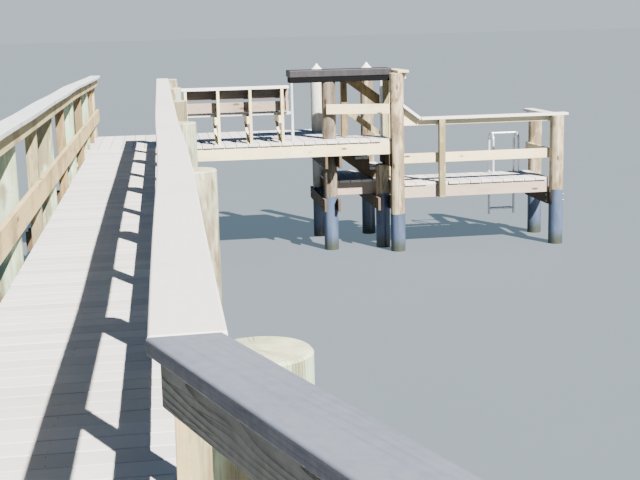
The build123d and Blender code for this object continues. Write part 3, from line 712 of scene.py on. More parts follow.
SMOOTH = {
    "Counter": ((48, 46, 50), (38, 36, 40), dict(rough=(0.4, 0.6), scale=9.0)),
    # The counter apron's near-black tones are painted shade: the dark recess under the counter top.
    "Counter apron": ((9, 9, 11), (5, 5, 7), dict(rough=(0.6, 0.8), scale=5.0, specular=0.1)),
    "Sleeve": ((76, 90, 114), (58, 70, 92), dict(rough=(0.26, 0.42), scale=7.0, bump=0.15, foot=(52, 58, 50))),
    "Cone": ((238, 238, 236), (226, 226, 222), dict(rough=(0.3, 0.45), scale=8.0, bump=0.05)),
    "Aluminium": ((210, 214, 220), (192, 197, 204), dict(rough=(0.28, 0.42), metal=0.35, scale=20.0, bump=0.08)),
    "Deck screw": ((176, 172, 166), (150, 146, 140), dict(rough=(0.4, 0.6), metal=0.4, scale=60.0)),
    "Steel": ((150, 148, 144), (126, 122, 116), dict(rough=(0.35, 0.6), metal=0.8, scale=60.0)),
}


def finish(name):
    """The named finish, made on first use."""
    if name in bpy.data.materials:
        return bpy.data.materials[name]
    if name in SMOOTH:
        first, second, options = SMOOTH[name]
        return smooth_material(name, first, second, **options)
    early, late, options = TIMBERS[name]
    if isinstance(early, str):
        share = late
        early = tuple(round(c * 255) for c in getattr(bpy.context.scene.boardwalk, early))
        late = tuple(int(c * share) for c in early)
    return timber_material(name, early, late, **options)


# Whole pieces from rows, and the deck boards

def planks(seed, rows, *labels, **options):
    """A piece of squared timbers, one for each row of what Bundle.box takes."""
    bundle = Bundle(seed)
    for row in rows:
        bundle.box(*row, **options)
    bundle.piece(*labels)


def piles(seed, rows, name, look, *replaces, turned=False):
    """A piece of round piles, one for each row of what Bundle.pile takes."""
    bundle = Bundle(seed)
    for row in rows:
        bundle.pile(*row)
    if turned:
        bundle.mirrored()
    bundle.piece(name, look, "round_pile", *replaces, smooth=32)


def clasp(sides, top):
    """Flats for a pair of beams: the angle that each faces, and its levels."""
    return [(side, top - JOIST_H, top) for side in sides]


def round_cut(pile_x, pile_y, sign):
    """An end scribed round a pile: y = pile y +- sqrt((R + clearance)^2 - (x - pile x)^2)."""
    radius = PILE_R + PILE_CLEAR

    def offset(points):
        reach = np.sqrt(np.maximum(radius**2 - (points[..., 0] - pile_x) ** 2, 0.0))
        return (pile_y + sign * reach) - points[..., 1]

    return offset


def deck_along(bundle, x0, x1, y0, y1, top, through=(), past=None):
    """Boards laid along the walkway's direction, scribed round the piles that come up through them. Boards
    inside the two limits of past, but not those at the newel, reach a little over the rim."""
    s = bpy.context.scene.boardwalk
    count = max(1, round((x1 - x0) / (s.wide_board + s.wide_gap)))
    stops = np.linspace(x0, x1, count + 1)
    for left, right in zip(stops[:-1], stops[1:]):
        x, width = (left + right) / 2, right - left - s.wide_gap
        z = top - PLANK / 2 + bundle.rng.uniform(-0.0012, 0.0)
        over = past and past[0] < left and right < past[1] and not left - SHORTEST < NEWEL_X < right + SHORTEST
        cuts = [(y0 + bundle.rng.uniform(0.0, UNEVEN) - (DECK_PAST if over else 0.0), None)]
        for pile_x, pile_y in through:
            if abs(x - pile_x) < PILE_R + width / 2 and y0 - PILE_R < pile_y < y1 + PILE_R:
                cuts += [(pile_y, round_cut(pile_x, pile_y, sign)) for sign in (-1, 1)]
        cuts.append((y1 - bundle.rng.uniform(0.0, UNEVEN), None))
        for (a, cut_a), (b, cut_b) in zip(cuts[::2], cuts[1::2]):
            if b - a >= SHORTEST:
                bundle.timber((x, a, z), (x, b, z), UP, width, PLANK, arris=s.arris, cuts=(cut_a, cut_b),
                              across=8 if cut_a or cut_b else 0, bow=0.0008, step=0.4)


def size_setting(label, text, default):
    """One length among the settings."""
    return bpy.props.FloatProperty(name=label, description=text, default=default, unit="LENGTH")


def colour_setting(label, text, default):
    """One colour among the settings."""
    return bpy.props.FloatVectorProperty(name=label, description=text, size=3, subtype="COLOR_GAMMA",
                                         default=default, min=0.0, max=1.0)


class BoardwalkSettings(bpy.types.PropertyGroup):
    """Sizes and colours of the finished surfaces."""

    board_width: size_setting("Board width", "Width of one deck board", 0.140)
    board_gap: size_setting("Board gap", "Gap between two deck boards", 0.006)
    wide_board: size_setting("Platform board width", "Width of one platform board", 0.152)
    wide_gap: size_setting("Platform board gap", "Gap between two platform boards", 0.008)
    arris: size_setting("Eased edge", "Radius of the edges of sawn timber", 0.0035)
    cap_edge: size_setting("Cap edge", "Radius of the edges of the rail cap", 0.007)
    deck_tone: colour_setting("Deck colour", "Colour of the deck boards", (0.800, 0.785, 0.770))
    cap_tone: colour_setting("Cap colour", "Colour of the rail caps", (0.830, 0.825, 0.820))
    seed: bpy.props.IntProperty(name="Seed", description="Start of the random variation", default=7)


class BOARDWALK_OT_decks(bpy.types.Operator):
    """Lay the deck boards of the walkway, the platform and the landing"""

    bl_idname = "boardwalk.decks"
    bl_label = "Deck boards"

    def execute(self, context):
        s = context.scene.boardwalk
        pitch = s.board_width + s.board_gap
        low = BEND_Y + X_LEFT * MITRE
        for seed, name, node, end in ((14, "walkway_boards", "walkway_deck", PLAT_Y0),
                                      (15, "approach_boards", "approach_deck", APPROACH_END)):
            bundle = Bundle(seed)
            for far in end - np.arange(0, end - low + pitch, pitch):
                if far <= low + 0.01:
                    continue
                near = far - pitch
                y = (near + far + s.board_gap) / 2
                z = DECK_TOP - PLANK / 2 + bundle.rng.uniform(-0.0015, 0.0)
                trim = bundle.rng.uniform(0.0, UNEVEN, 2)
                bundle.timber((X_LEFT + trim[0], y, z), (X_RIGHT - trim[1], y, z), UP, s.board_width, PLANK,
                              arris=s.arris, bow=0.0006, step=0.05 if near < BEND_Y else 0.3)
                points = bundle.points[-1]
                points[:, 1] = np.maximum(points[:, 1], BEND_Y + points[:, 0] * MITRE + 0.0015)
            if node == "approach_deck":
                bundle.mirrored()
            bundle.piece(name, "Deck board", "deck_board", node)
        bundle = Bundle(3)
        through = ((PILE_X_RIGHT, ROWS[-1]), (PILE_X_LEFT, ROWS[-1]), (PILE_X_LEFT, PLAT_ROW), (LINE_A, ROW_NEAR),
                   (LINE_A, ROW_FAR))
        deck_along(bundle, PLAT_X0, MAIN_X1, PLAT_Y0, PLAT_Y1, DECK_TOP, through, (0.02, 9.0))
        deck_along(bundle, MAIN_X1, EDGE_X1, PLAT_Y0, STRIP_Y1, DECK_TOP, (), (0.0, 3.09))
        bundle.piece("platform_boards", "Deck board", "deck_board", "platform_deck")
        bundle = Bundle(4)
        deck_along(bundle, LANDING_X0, LOW_X1 - PLANK, PLAT_Y0, LOW_Y1, LOW_TOP, (), (3.2, 9.0))
        deck_along(bundle, LINE_B + PILE_R, LANDING_X0, PLAT_Y0 + PILE_R, LOW_Y1, LOW_TOP)
        through = ((LINE_A, ROW_FAR), (LINE_B, ROW_FAR))
        deck_along(bundle, LINE_A, EDGE_X1, LOW_INNER_Y0, LOW_INNER_Y1, LOW_TOP, through)
        deck_along(bundle, EDGE_X1, LOW_MID_X, LOW_Y1, LOW_INNER_Y1, LOW_TOP, through)
        bundle.piece("landing_boards", "Deck board", "deck_board", "lower_deck")
        return {"FINISHED"}


class BOARDWALK_OT_frame(bpy.types.Operator):
    """Set the stringers, beams, joists and rims under the decks"""

    bl_idname = "boardwalk.frame"
    bl_label = "Frame under the decks"

    def execute(self, context):
        # The frame finish is darkened as painted shade under the decks.
        frame_labels = "Frame timber", "sawn_timber"
        joist = BEAM_TOP, JOIST_TOP
        low_joist = LOW_BEAM_TOP, LOW_JOIST_TOP
        bundle = Bundle(10)
        lines = (X_RIGHT - PLANK, (X_LEFT + X_RIGHT - PLANK) / 2, X_LEFT)
        for x0 in lines:
            bundle.mitred(x0, x0 + PLANK, ROWS[1] - JOINT, *joist, bow=BOW)
            for y0, y1 in zip(ROWS[1:-1], ROWS[2:-1] + [PLAT_Y0]):
                bundle.box(x0, x0 + PLANK, y0 + JOINT, y1 - JOINT, *joist, bow=BOW)
        first = bundle.count
        for x0 in lines:
            bundle.mitred(x0, x0 + PLANK, APPROACH_END, *joist, bow=BOW)
        bundle.mirrored(first)
        bundle.piece("stringer_planks", *frame_labels, "walkway_stringers")

        bundle = Bundle(11)
        reach = PILE_R + BEAM_PAST
        for y in ROWS[:-1]:
            x, turn = (0.0, BEND / 2) if y == ROWS[0] else (PILE_X_RIGHT, 0.0)
            span = (x - PILE_X_LEFT) / math.cos(turn)
            along = np.array([math.cos(turn), math.sin(turn), 0.0])
            out = np.array([-math.sin(turn), math.cos(turn), 0.0])
            for side in (-1, 1):
                middle = np.array([x, y, BEAM_MID]) + out * side * (FLAT + PLANK / 2)
                bundle.timber(middle - along * (span + reach), middle + along * reach, UP, PLANK, JOIST_H)
        first = bundle.count
        for side in (-1, 1):
            y = APPROACH_ROW + side * (FLAT + PLANK / 2)
            bundle.timber((PILE_X_LEFT - reach, y, BEAM_MID), (PILE_X_RIGHT + reach, y, BEAM_MID), UP, PLANK, JOIST_H)
        bundle.mirrored(first)
        bundle.piece("cross_beam_planks", *frame_labels, "walkway_cross_beams")

        bundle = Bundle(12)
        for x in (PILE_X_LEFT, PILE_X_RIGHT, LINE_A):
            bundle.clasping(x, PLAT_Y0, PLAT_Y1, BEAM_TOP)
        bundle.box(EDGE_X1 - PLANK, EDGE_X1, PLAT_Y0, STRIP_Y1, BEAM_LOW, BEAM_TOP)
        bundle.piece("platform_beam_planks", *frame_labels, "platform_beams")

        x0 = PLAT_X0 + PLANK
        ends = ((EDGE_X1, ROW_NEAR + PILE_R), (EDGE_X1, STRIP_Y1 - PLANK),
                (MAIN_X1, (STRIP_Y1 + ROW_FAR - PILE_R - PLANK) / 2), (MAIN_X1, ROW_FAR - PILE_R - PLANK),
                (MAIN_X1, PLAT_ROW - PILE_R - PLANK))
        planks(13, [(x0, x1 - PLANK, y, y + PLANK, *joist, "x") for x1, y in ends],
               "platform_joist_planks", *frame_labels, "platform_joists")

        bundle = Bundle(14)
        bundle.box(PLAT_X0, EDGE_X1, PLAT_Y0, PLAT_Y0 + PLANK, *joist, "x", bow=BOW)
        bundle.box(PLAT_X0, MAIN_X1 - PLANK, PLAT_Y1 - PLANK, PLAT_Y1, *joist, "x")
        bundle.box(PLAT_X0, x0, PLAT_Y0 + PLANK, PLAT_Y1 - PLANK, *joist)
        bundle.box(EDGE_X1 - PLANK, EDGE_X1, PLAT_Y0 + PLANK, STRIP_Y1, *joist)
        bundle.box(MAIN_X1 - PLANK, MAIN_X1, STRIP_Y1, PLAT_Y1, JOIST_TOP - DEEP_H, JOIST_TOP)
        bundle.piece("platform_rim_planks", "Rim timber", "fascia_timber", "platform_rims")

        bundle = Bundle(15)
        beam_end = ROW_FAR + PILE_R + BEAM_PAST
        for x, y0, y1 in ((LINE_A, ROW_NEAR - PILE_R - BEAM_PAST, beam_end), (LINE_B, PLAT_Y0 + PILE_R, beam_end),
                          (LINE_C, PLAT_Y0, C_FAR_Y + PILE_R)):
            bundle.clasping(x, y0, y1, LOW_BEAM_TOP)
        bundle.piece("landing_beam_planks", *frame_labels, "lower_beams")

        x0, x1 = LINE_B + FLAT, LOW_X1 - PLANK
        past_pile = 0.094
        planks(16, (
            (CORNER_X + past_pile, x1, PLAT_Y0, PLAT_Y0 + PLANK, *low_joist, "x"),
            (x0, x1, LOW_Y1 - PLANK, LOW_Y1, *low_joist, "x"),
            (x1, LOW_X1, PLAT_Y0, LOW_Y1, LOW_BEAM_TOP, LOW_TOP),
            (LINE_A, x0, LOW_INNER_Y0, LOW_INNER_Y0 + PLANK, *low_joist, "x"),
            (LINE_A, LOW_MID_X, LOW_INNER_Y1 - PLANK, LOW_INNER_Y1, *low_joist, "x"),
        ), "landing_rim_planks", "Pink rim timber", "fascia_timber", "lower_rims")

        ends = ((x0 + 0.020, x1, ROW_NEAR + PILE_R + CLEAR), (LINE_A, LOW_MID_X, LOW_Y1 + PLANK),
                (LINE_A, LOW_MID_X, ROW_FAR - PILE_R - CLEAR - PLANK))
        planks(17, [(a, b, y, y + PLANK, *low_joist, "x") for a, b, y in ends],
               "landing_joist_planks", *frame_labels, "lower_joists")
        return {"FINISHED"}


class BOARDWALK_OT_piles(bpy.types.Operator):
    """Drive the round piles, with their flats, seats, sleeves and cones"""

    bl_idname = "boardwalk.piles"
    bl_label = "Piles"

    def execute(self, context):
        top = CAP_UNDER + 0.028
        left_top = CAP_UNDER + LEFT_UP - LEFT_PILE_UNDER
        across = clasp((NEAR, FAR), BEAM_TOP)
        along = clasp((LEFT, RIGHT), BEAM_TOP)
        low = clasp((LEFT, RIGHT), LOW_BEAM_TOP)
        seat = ((LEFT, PILE_R - (CAP_W - PLANK - CAP_IN)),)
        rimmed = [(LEFT, BEAM_LOW, JOIST_TOP), (RIGHT, BEAM_LOW, BEAM_TOP)]
        gap = -(sides_of("right")[2][1])
        rails = [(LEFT, LOW_TOP + MID_RAIL_LOW, LOW_TOP + MID_RAIL_LOW + BOARD_W),
                 (LEFT, LOW_CAP_UNDER - TOP_RAIL_H, LOW_CAP_UNDER)]
        piles(20, (
            (0.0, 0.0, top, across, BEND / 2, ((LEFT, gap), (LEFT + BEND, gap))),
            *((PILE_X_RIGHT, y, top, across, 0.0, seat) for y in ROWS[1:-1]),
            (PILE_X_RIGHT, ROWS[-1], top, along, 0.0, seat),
        ), "piles_right", "Pile timber", "walkway_piles_right")
        piles(21, (
            (PILE_X_LEFT, PILE_X_LEFT * MITRE, left_top, across, BEND / 2),
            *((PILE_X_LEFT, y, min(left_top, left_level(y) - LEFT_PILE_UNDER), across) for y in ROWS[1:-1]),
            (PILE_X_LEFT, ROWS[-1], left_level(ROWS[-1]) - LEFT_PILE_UNDER, rimmed),
        ), "piles_left", "Pile timber", "walkway_piles_left")
        piles(22, (
            (PILE_X_RIGHT, APPROACH_ROW, top, across, 0.0, seat),
            (PILE_X_LEFT, APPROACH_ROW, left_top, across),
        ), "piles_approach", "Pile timber", "approach_piles", turned=True)
        piles(23, (
            (PILE_X_LEFT, PLAT_ROW, left_level(PLAT_ROW) - 0.012, rimmed),
            (PILE_X_RIGHT, PLAT_ROW, BEAM_TOP, along),
            (LINE_B, ROW_NEAR, BEAM_LOW, low),
        ), "piles_platform", "Brown pile timber", "platform_piles")
        piles(24, (
            (LINE_B, ROW_FAR, CONE_BASE, low),
            (CORNER_X, PLAT_Y0, GUARD_TOP, [(LEFT, BEAM_LOW, DECK_TOP)]),
        ), "piles_tall", "Brown pile timber", "tall_piles")
        piles(29, ((LINE_A, ROW_NEAR, APRON_LOW, along + low),), "pile_tall_grey", "Grey pile timber")
        piles(28, ((LINE_A, ROW_FAR, CONE_BASE, along + low),), "pile_tall_pale", "Pale pile timber")
        piles(25, (
            (LINE_C, C_NEAR_Y, LOW_CAP_UNDER, low),
            (LINE_C, C_FAR_Y, LOW_CAP_UNDER, low + rails),
        ), "piles_landing", "Brown pile timber", "lower_piles")

        bundle = Bundle(26)
        half = math.acos(FLAT / (PILE_R + SLEEVE_T))
        strips = ((half, math.pi - half), (math.pi + half, 2 * math.pi - half))
        bundle.sleeve(CORNER_X, PLAT_Y0, 0.556, ALL_ROUND)
        for x, y, level in ((LINE_A, ROW_NEAR, 0.806), (LINE_A, ROW_FAR, 0.800), (LINE_B, ROW_NEAR, 0.820),
                            (LINE_B, ROW_FAR, 0.800), (LINE_C, C_NEAR_Y, 0.820), (LINE_C, C_FAR_Y, 0.800)):
            bundle.sleeve(x, y, LOW_BEAM_LOW, ALL_ROUND)
            bundle.sleeve(x, y, level, strips, bottom=LOW_BEAM_LOW - 0.006)
        bundle.piece("plastic_sleeves", "Sleeve", "pile_sleeve", "pile_sleeves", smooth=30)

        bundle = Bundle(27)
        t = np.linspace(0, 1, 9)
        slope = np.stack([0.1105 * (1 - t) + 0.006 * t, 0.004 + 0.104 * t - 0.010 * np.sin(math.pi * t)], 1)
        profile = [(0.1040, -0.0235), (0.1105, -0.0235), (0.1112, -0.010), (0.1112, 0.0), *slope, (0.003, 0.1095),
                   (0.0004, 0.1100)]
        for x in (LINE_A, LINE_B):
            bundle.lathe((x, ROW_FAR, CONE_BASE), UP, profile, 48)
        bundle.piece("cone_caps", "Cone", "pile_hat", "pile_cones", smooth=40)
        return {"FINISHED"}


class BOARDWALK_OT_rails(bpy.types.Operator):
    """Fix the posts, rails and caps of the walkway and the approach"""

    bl_idname = "boardwalk.rails"
    bl_label = "Rails and caps"

    def execute(self, context):
        s = context.scene.boardwalk
        post_ys = [(a + b) / 2 for a, b in zip(ROWS, ROWS[1:])]
        mid = DECK_TOP + WALK_MID_LOW, DECK_TOP + WALK_MID_LOW + JOIST_H
        cap = dict(arris=s.cap_edge, steps=4, step=0.30)
        tops = {"right": (CAP_UNDER - RIGHT_TOP_H, CAP_UNDER),
                "left": (CAP_UNDER + LEFT_UP - LEFT_TOP_H, CAP_UNDER + LEFT_UP)}
        normal = (-math.sin(CAP_CUT), math.cos(CAP_CUT), 0.0)
        for side, end, seed, level, shape in (
            ("right", RAIL_END, 30, lambda y: CAP_UNDER,
             lambda y: (RIGHT_BOW * np.exp(-((y - BOW_AT) / BOW_REACH) ** 2), 0.0)),
            ("left", PLAT_Y1, 35, left_level, lambda y: (0.0, left_level(y) - CAP_UNDER - LEFT_UP)),
        ):
            rail, post, edge = sides_of(side)
            z0, z1 = tops[side]
            rows = [(y, BEAM_TOP) for y in post_ys]
            if side == "left":
                rows.append(((ROWS[-1] + PLAT_ROW) / 2, DECK_TOP))
            planks(seed, [(*post, y - POST_W / 2, y + POST_W / 2, foot, level(y), "z") for y, foot in rows],
                   "posts_" + side, "Post timber", "sawn_timber", "rail_posts_" + side)
            bundle = Bundle(seed + 1)
            if side == "right":
                bundle.box(*rail, RIGHT_TOP_Y0, end, z0, z1 - UNDER_CAP, step=0.35)
            else:
                bundle.mitred(*rail, end, z0, z1 - UNDER_CAP, step=0.35)
                bundle.bend(shape)
            bundle.piece("top_plank_" + side, "Rail timber", "sawn_timber", "top_rail_" + side)
            bundle = Bundle(seed + 2)
            bundle.mitred(*rail, end, *mid, step=0.35)
            bundle.piece("mid_plank_" + side, "Rail timber", "sawn_timber", "mid_rail_" + side)
            bundle = Bundle(seed + 3)
            if side == "right":
                x, z = sum(edge) / 2, z1 + PLANK / 2
                start = (x, CAP_CUT_Y + x * math.tan(CAP_CUT), z)
                bundle.timber(start, (x, end, z), UP, CAP_W, PLANK, cuts=(normal, None), bow=3 * BOW, **cap)
            else:
                bundle.mitred(*edge, end, z1, z1 + PLANK, bow=3 * BOW, **cap)
            bundle.bend(shape)
            look = "Rail cap" if side == "right" else "Left rail cap"
            bundle.piece("cap_" + side, look, "rail_cap", "rail_cap_" + side)
        bundle = Bundle(41)
        caps = Bundle(43)
        y = (APPROACH_ROW + BEND_Y) / 2
        for side in ("right", "left"):
            rail, post, edge = sides_of(side)
            z0, z1 = tops[side]
            bundle.box(*post, y - POST_W / 2, y + POST_W / 2, BEAM_TOP, z1, "z")
            if side == "right":
                start = BEND_Y + rail[0] * MITRE - NEAR_PAST
                bundle.box(*rail, start, APPROACH_END, z1 - NEAR_TOP_H, z1 - UNDER_CAP)
            else:
                bundle.mitred(*rail, APPROACH_END, z0, z1 - UNDER_CAP)
            bundle.mitred(*rail, APPROACH_END, *mid)
        caps.mitred(*edge, APPROACH_END, z1, z1 + PLANK, bow=2 * BOW, **cap)
        bundle.mirrored()
        caps.mirrored()
        edge = sides_of("right")[2]
        x0 = edge[0] + NEAR_CAP_LESS
        x, width = (x0 + edge[1]) / 2, edge[1] - x0
        near, bend = (mirror((x, y, CAP_UNDER + PLANK / 2)) for y in (APPROACH_END, BEND_Y))
        along = (bend - near) / np.linalg.norm(bend - near)
        back = -np.array(normal)
        on_cut = np.array([0.0, CAP_CUT_Y - JOINT, 0.0])
        far = near + along * ((on_cut - near) @ back) / (along @ back)
        caps.timber(near, far, UP, width, PLANK, cuts=(None, back), bow=2 * BOW, **cap)
        # The approach rails' finish carries painted shade as well as their own grey tone.
        bundle.piece("approach_rail_planks", "Grey rail timber in painted shade", "sawn_timber", "approach_rails")
        caps.piece("approach_cap_planks", "Brushed cap", "rail_cap", "approach_caps")
        return {"FINISHED"}


class BOARDWALK_OT_platform(bpy.types.Operator):
    """Build the bench, the counter, the guards and the stair of the platform"""

    bl_idname = "boardwalk.platform"
    bl_label = "Bench, counter and stair"

    def execute(self, context):
        arris = context.scene.boardwalk.arris
        self.bench(arris)
        self.counter()
        self.guards()
        self.stair(arris)
        return {"FINISHED"}

    def bench(self, arris):
        """Uprights, bearers and knee braces, with two back boards, a cap and a seat of three boards."""
        x0, pitch, count = 0.150, 0.456, 4
        past, back_past, cap_w = 0.060, 0.083, 0.180
        bearer_h, brace_w, brace_depth = 0.105, 0.115, 0.075
        gap, back_gap = 0.005, 0.043
        y0, y1 = PLAT_Y0 + BOARD_W, PLAT_Y0 + BOARD_W + PLANK
        top = DECK_TOP + BENCH_H - PLANK
        bearer = DECK_TOP + SEAT_H - PLANK
        seat_y0 = y1 + gap
        seat_y1 = seat_y0 + 3 * BOARD_W + 2 * gap
        bundle = Bundle(50)
        for k in range(count):
            a = x0 + k * pitch
            bundle.box(a, a + PLANK, PLAT_Y0, y0, DECK_TOP, top, "z")
            bundle.box(a - PLANK, a, PLAT_Y0, seat_y1, bearer - bearer_h, bearer)
            foot = np.array([(2 * PLAT_Y0 + brace_w) / 2, DECK_TOP])
            head = np.array([(2 * seat_y1 - brace_w) / 2, bearer - bearer_h])
            run = head - foot
            depth = brace_depth * run[1] / np.hypot(*run)
            bundle.timber((a - PLANK / 2, *foot), (a - PLANK / 2, *head), (0, -run[1], run[0]), PLANK, depth,
                          cuts=(UP, UP))
        bundle.piece("bench_timbers", "Rim timber", "bench_timber", "bench_frames")
        end = x0 + (count - 1) * pitch + PLANK + back_past
        mid = top - BOARD_W - back_gap
        planks(51, (
            (x0, end, y0, y1, mid - BOARD_W, mid, "x"),
            (end - PLANK, end, y0 - PLANK, y0, mid - BOARD_W, top, "z"),
        ), "bench_back_planks", "Bench timber", "bench_timber", "bench_back")
        # The top back board gets a darker finish, painted shade for the cap's shadow over it.
        planks(54, ((x0, end, y0, y1, top - BOARD_W, top, "x"),),
               "bench_back_top", "Dark bench timber", "bench_timber")
        fronts = [seat_y0 + k * (BOARD_W + gap) for k in range(3)]
        planks(52, [(x0 - past, end + PLANK, y, y + BOARD_W, bearer, bearer + PLANK, "x") for y in fronts],
               "bench_seat_planks", "Deck board", "bench_timber", "bench_seat", arris=arris)
        planks(53, ((x0 - past, end, y1 - cap_w, y1, top, top + PLANK, "x"),),
               "bench_cap_plank", "Rail cap", "bench_timber", "bench_cap", arris=0.005)

    def counter(self):
        """A thick top with rounded edges on a recessed apron and two thin poles."""
        x0, x1, y0, pole_x = 1.680, 3.190, 13.970, 3.030
        thick, inset, r = 0.100, 0.010, 0.0215
        planks(54, ((x0, x1, y0, STRIP_Y1, COUNTER_UNDER, COUNTER_UNDER + thick, "x"),),
               "counter_slab", "Counter", "counter_sheet", "counter_top", arris=0.008, steps=3)
        a0, a1, b0, b1 = x0 + inset, x1 - inset, y0 + inset, NEWEL_Y0
        apron = APRON_LOW, COUNTER_UNDER
        # The apron takes a near-black finish, which is painted shade under the counter top.
        planks(55, (
            (a0, a1, b0, b0 + PLANK, *apron, "x"), (a0, a1, b1 - PLANK, b1, *apron, "x"),
            *((x, x + PLANK, b0 + PLANK, b1 - PLANK, *apron) for x in (a0, a1 - PLANK)),
        ), "counter_apron_planks", "Counter apron", "counter_sheet", "counter_apron")
        bundle = Bundle(56)
        profile = [(0.030, 0.0), (0.030, 0.004), (r + 0.002, 0.007), (r, 0.012), (r, APRON_LOW - DECK_TOP)]
        for x in (a0 + PLANK / 2, pole_x):
            bundle.lathe((x, b0 + PLANK / 2, DECK_TOP), UP, profile, 24)
        bundle.piece("counter_pole_tubes", "Aluminium", "ladder_metal", "counter_poles", smooth=35)

    def guards(self):
        """A board from pile to pile, and a post, rail and cap on the right-hand edge."""
        bundle = Bundle(57)
        lap, short = 0.005, 0.085
        z = DECK_TOP + GUARD_LOW + BOARD_W / 2
        start = np.array([LINE_A, ROW_NEAR])
        run = np.array([CORNER_X, PLAT_Y0]) - start
        length = np.hypot(*run)
        run /= length
        out = np.array([run[1], -run[0]]) * (PILE_R + PLANK / 2)
        a = start - run * lap + out
        b = start + run * (length - short) + out
        bundle.timber((*a, z), (*b, z), UP, PLANK, BOARD_W)
        x, top = LANDING_X0, GUARD_TOP
        bundle.box(x - POST_W, x, NEWEL_Y0, STRIP_Y1, LOW_TOP, top, "z")
        bundle.box(x, x + PLANK, PLAT_Y0, STRIP_Y1, top - POST_W, top)
        bundle.box(CORNER_X, CORNER_X + CAP_W, PLAT_Y0 - PILE_R, STRIP_Y1 + CAP_IN, top, top + PLANK, arris=0.006)
        bundle.piece("guard_planks", "Rim timber", "sawn_timber", "platform_guards")

    def stair(self, arris):
        """Notched stringers, treads of two boards each, newels and sloped rails."""
        rise, run, risers, off_pile = 0.165, 0.220, 4, 0.020
        slope = rise / run
        y0, y1 = STRIP_Y1 + PLANK, ROW_FAR - PILE_R - off_pile
        first = DECK_TOP - rise - PLANK
        foot = MAIN_X1 + (risers - 1) * run
        lower = first + rise - DEEP_H * math.hypot(1, slope)
        corners = [(MAIN_X1, first)]
        treads = []
        for k in range(1, risers):
            x, z = MAIN_X1 + k * run, DECK_TOP - k * rise
            treads += [(a, b, y0, y1, z - PLANK, z)
                       for a, b in ((x - run, x - run / 2 - CLEAR), (x - run / 2 + CLEAR, x))]
            corners += [(x, z - PLANK), (x, z - PLANK - rise)]
        # The last riser runs on down to the landing, and the lower edge of the stringer closes the outline
        corners[-1:] = [(foot, LOW_TOP), (MAIN_X1 + (lower - LOW_TOP) / slope, LOW_TOP), (MAIN_X1, lower)]
        planks(58, treads, "stair_tread_planks", "Deck board", "deck_board", "stair_treads", arris=arris)
        bundle = Bundle(59)
        for y in (y0, y1 - PLANK):
            bundle.outline(corners[::-1], y + PLANK)
        # The stringers share the frame finish, darkened as painted shade.
        bundle.piece("stair_stringer_planks", "Frame timber", "sawn_timber", "stair_stringers", bevel=0.002)
        x, end = MAIN_X1 + 0.002, EDGE_X1 + POST_W
        bundle = Bundle(60)
        bundle.box(x, x + POST_W, NEWEL_Y0, STRIP_Y1, DECK_TOP, COUNTER_UNDER, "z")
        bundle.box(EDGE_X1, end, NEWEL_Y0, STRIP_Y1, LOW_TOP, COUNTER_UNDER, "z")
        handrail_z, lower_z = 2.531, 2.054
        for z, height in ((handrail_z, BOARD_W), (lower_z, POST_W)):
            tall = height * math.hypot(1, slope)
            a = (x, STRIP_Y1 + PLANK / 2, z + tall / 2)
            b = (end, STRIP_Y1 + PLANK / 2, z + tall / 2 - (end - x) * slope)
            bundle.timber(a, b, UP, PLANK, height, cuts=(ALONG_X, ALONG_X), step=0.1)
            points = bundle.points[-1]
            points[:, 2] = np.minimum(points[:, 2], HANDRAIL_TOP)
        bundle.piece("handrail_timbers", "Post timber", "sawn_timber", "stair_handrail")


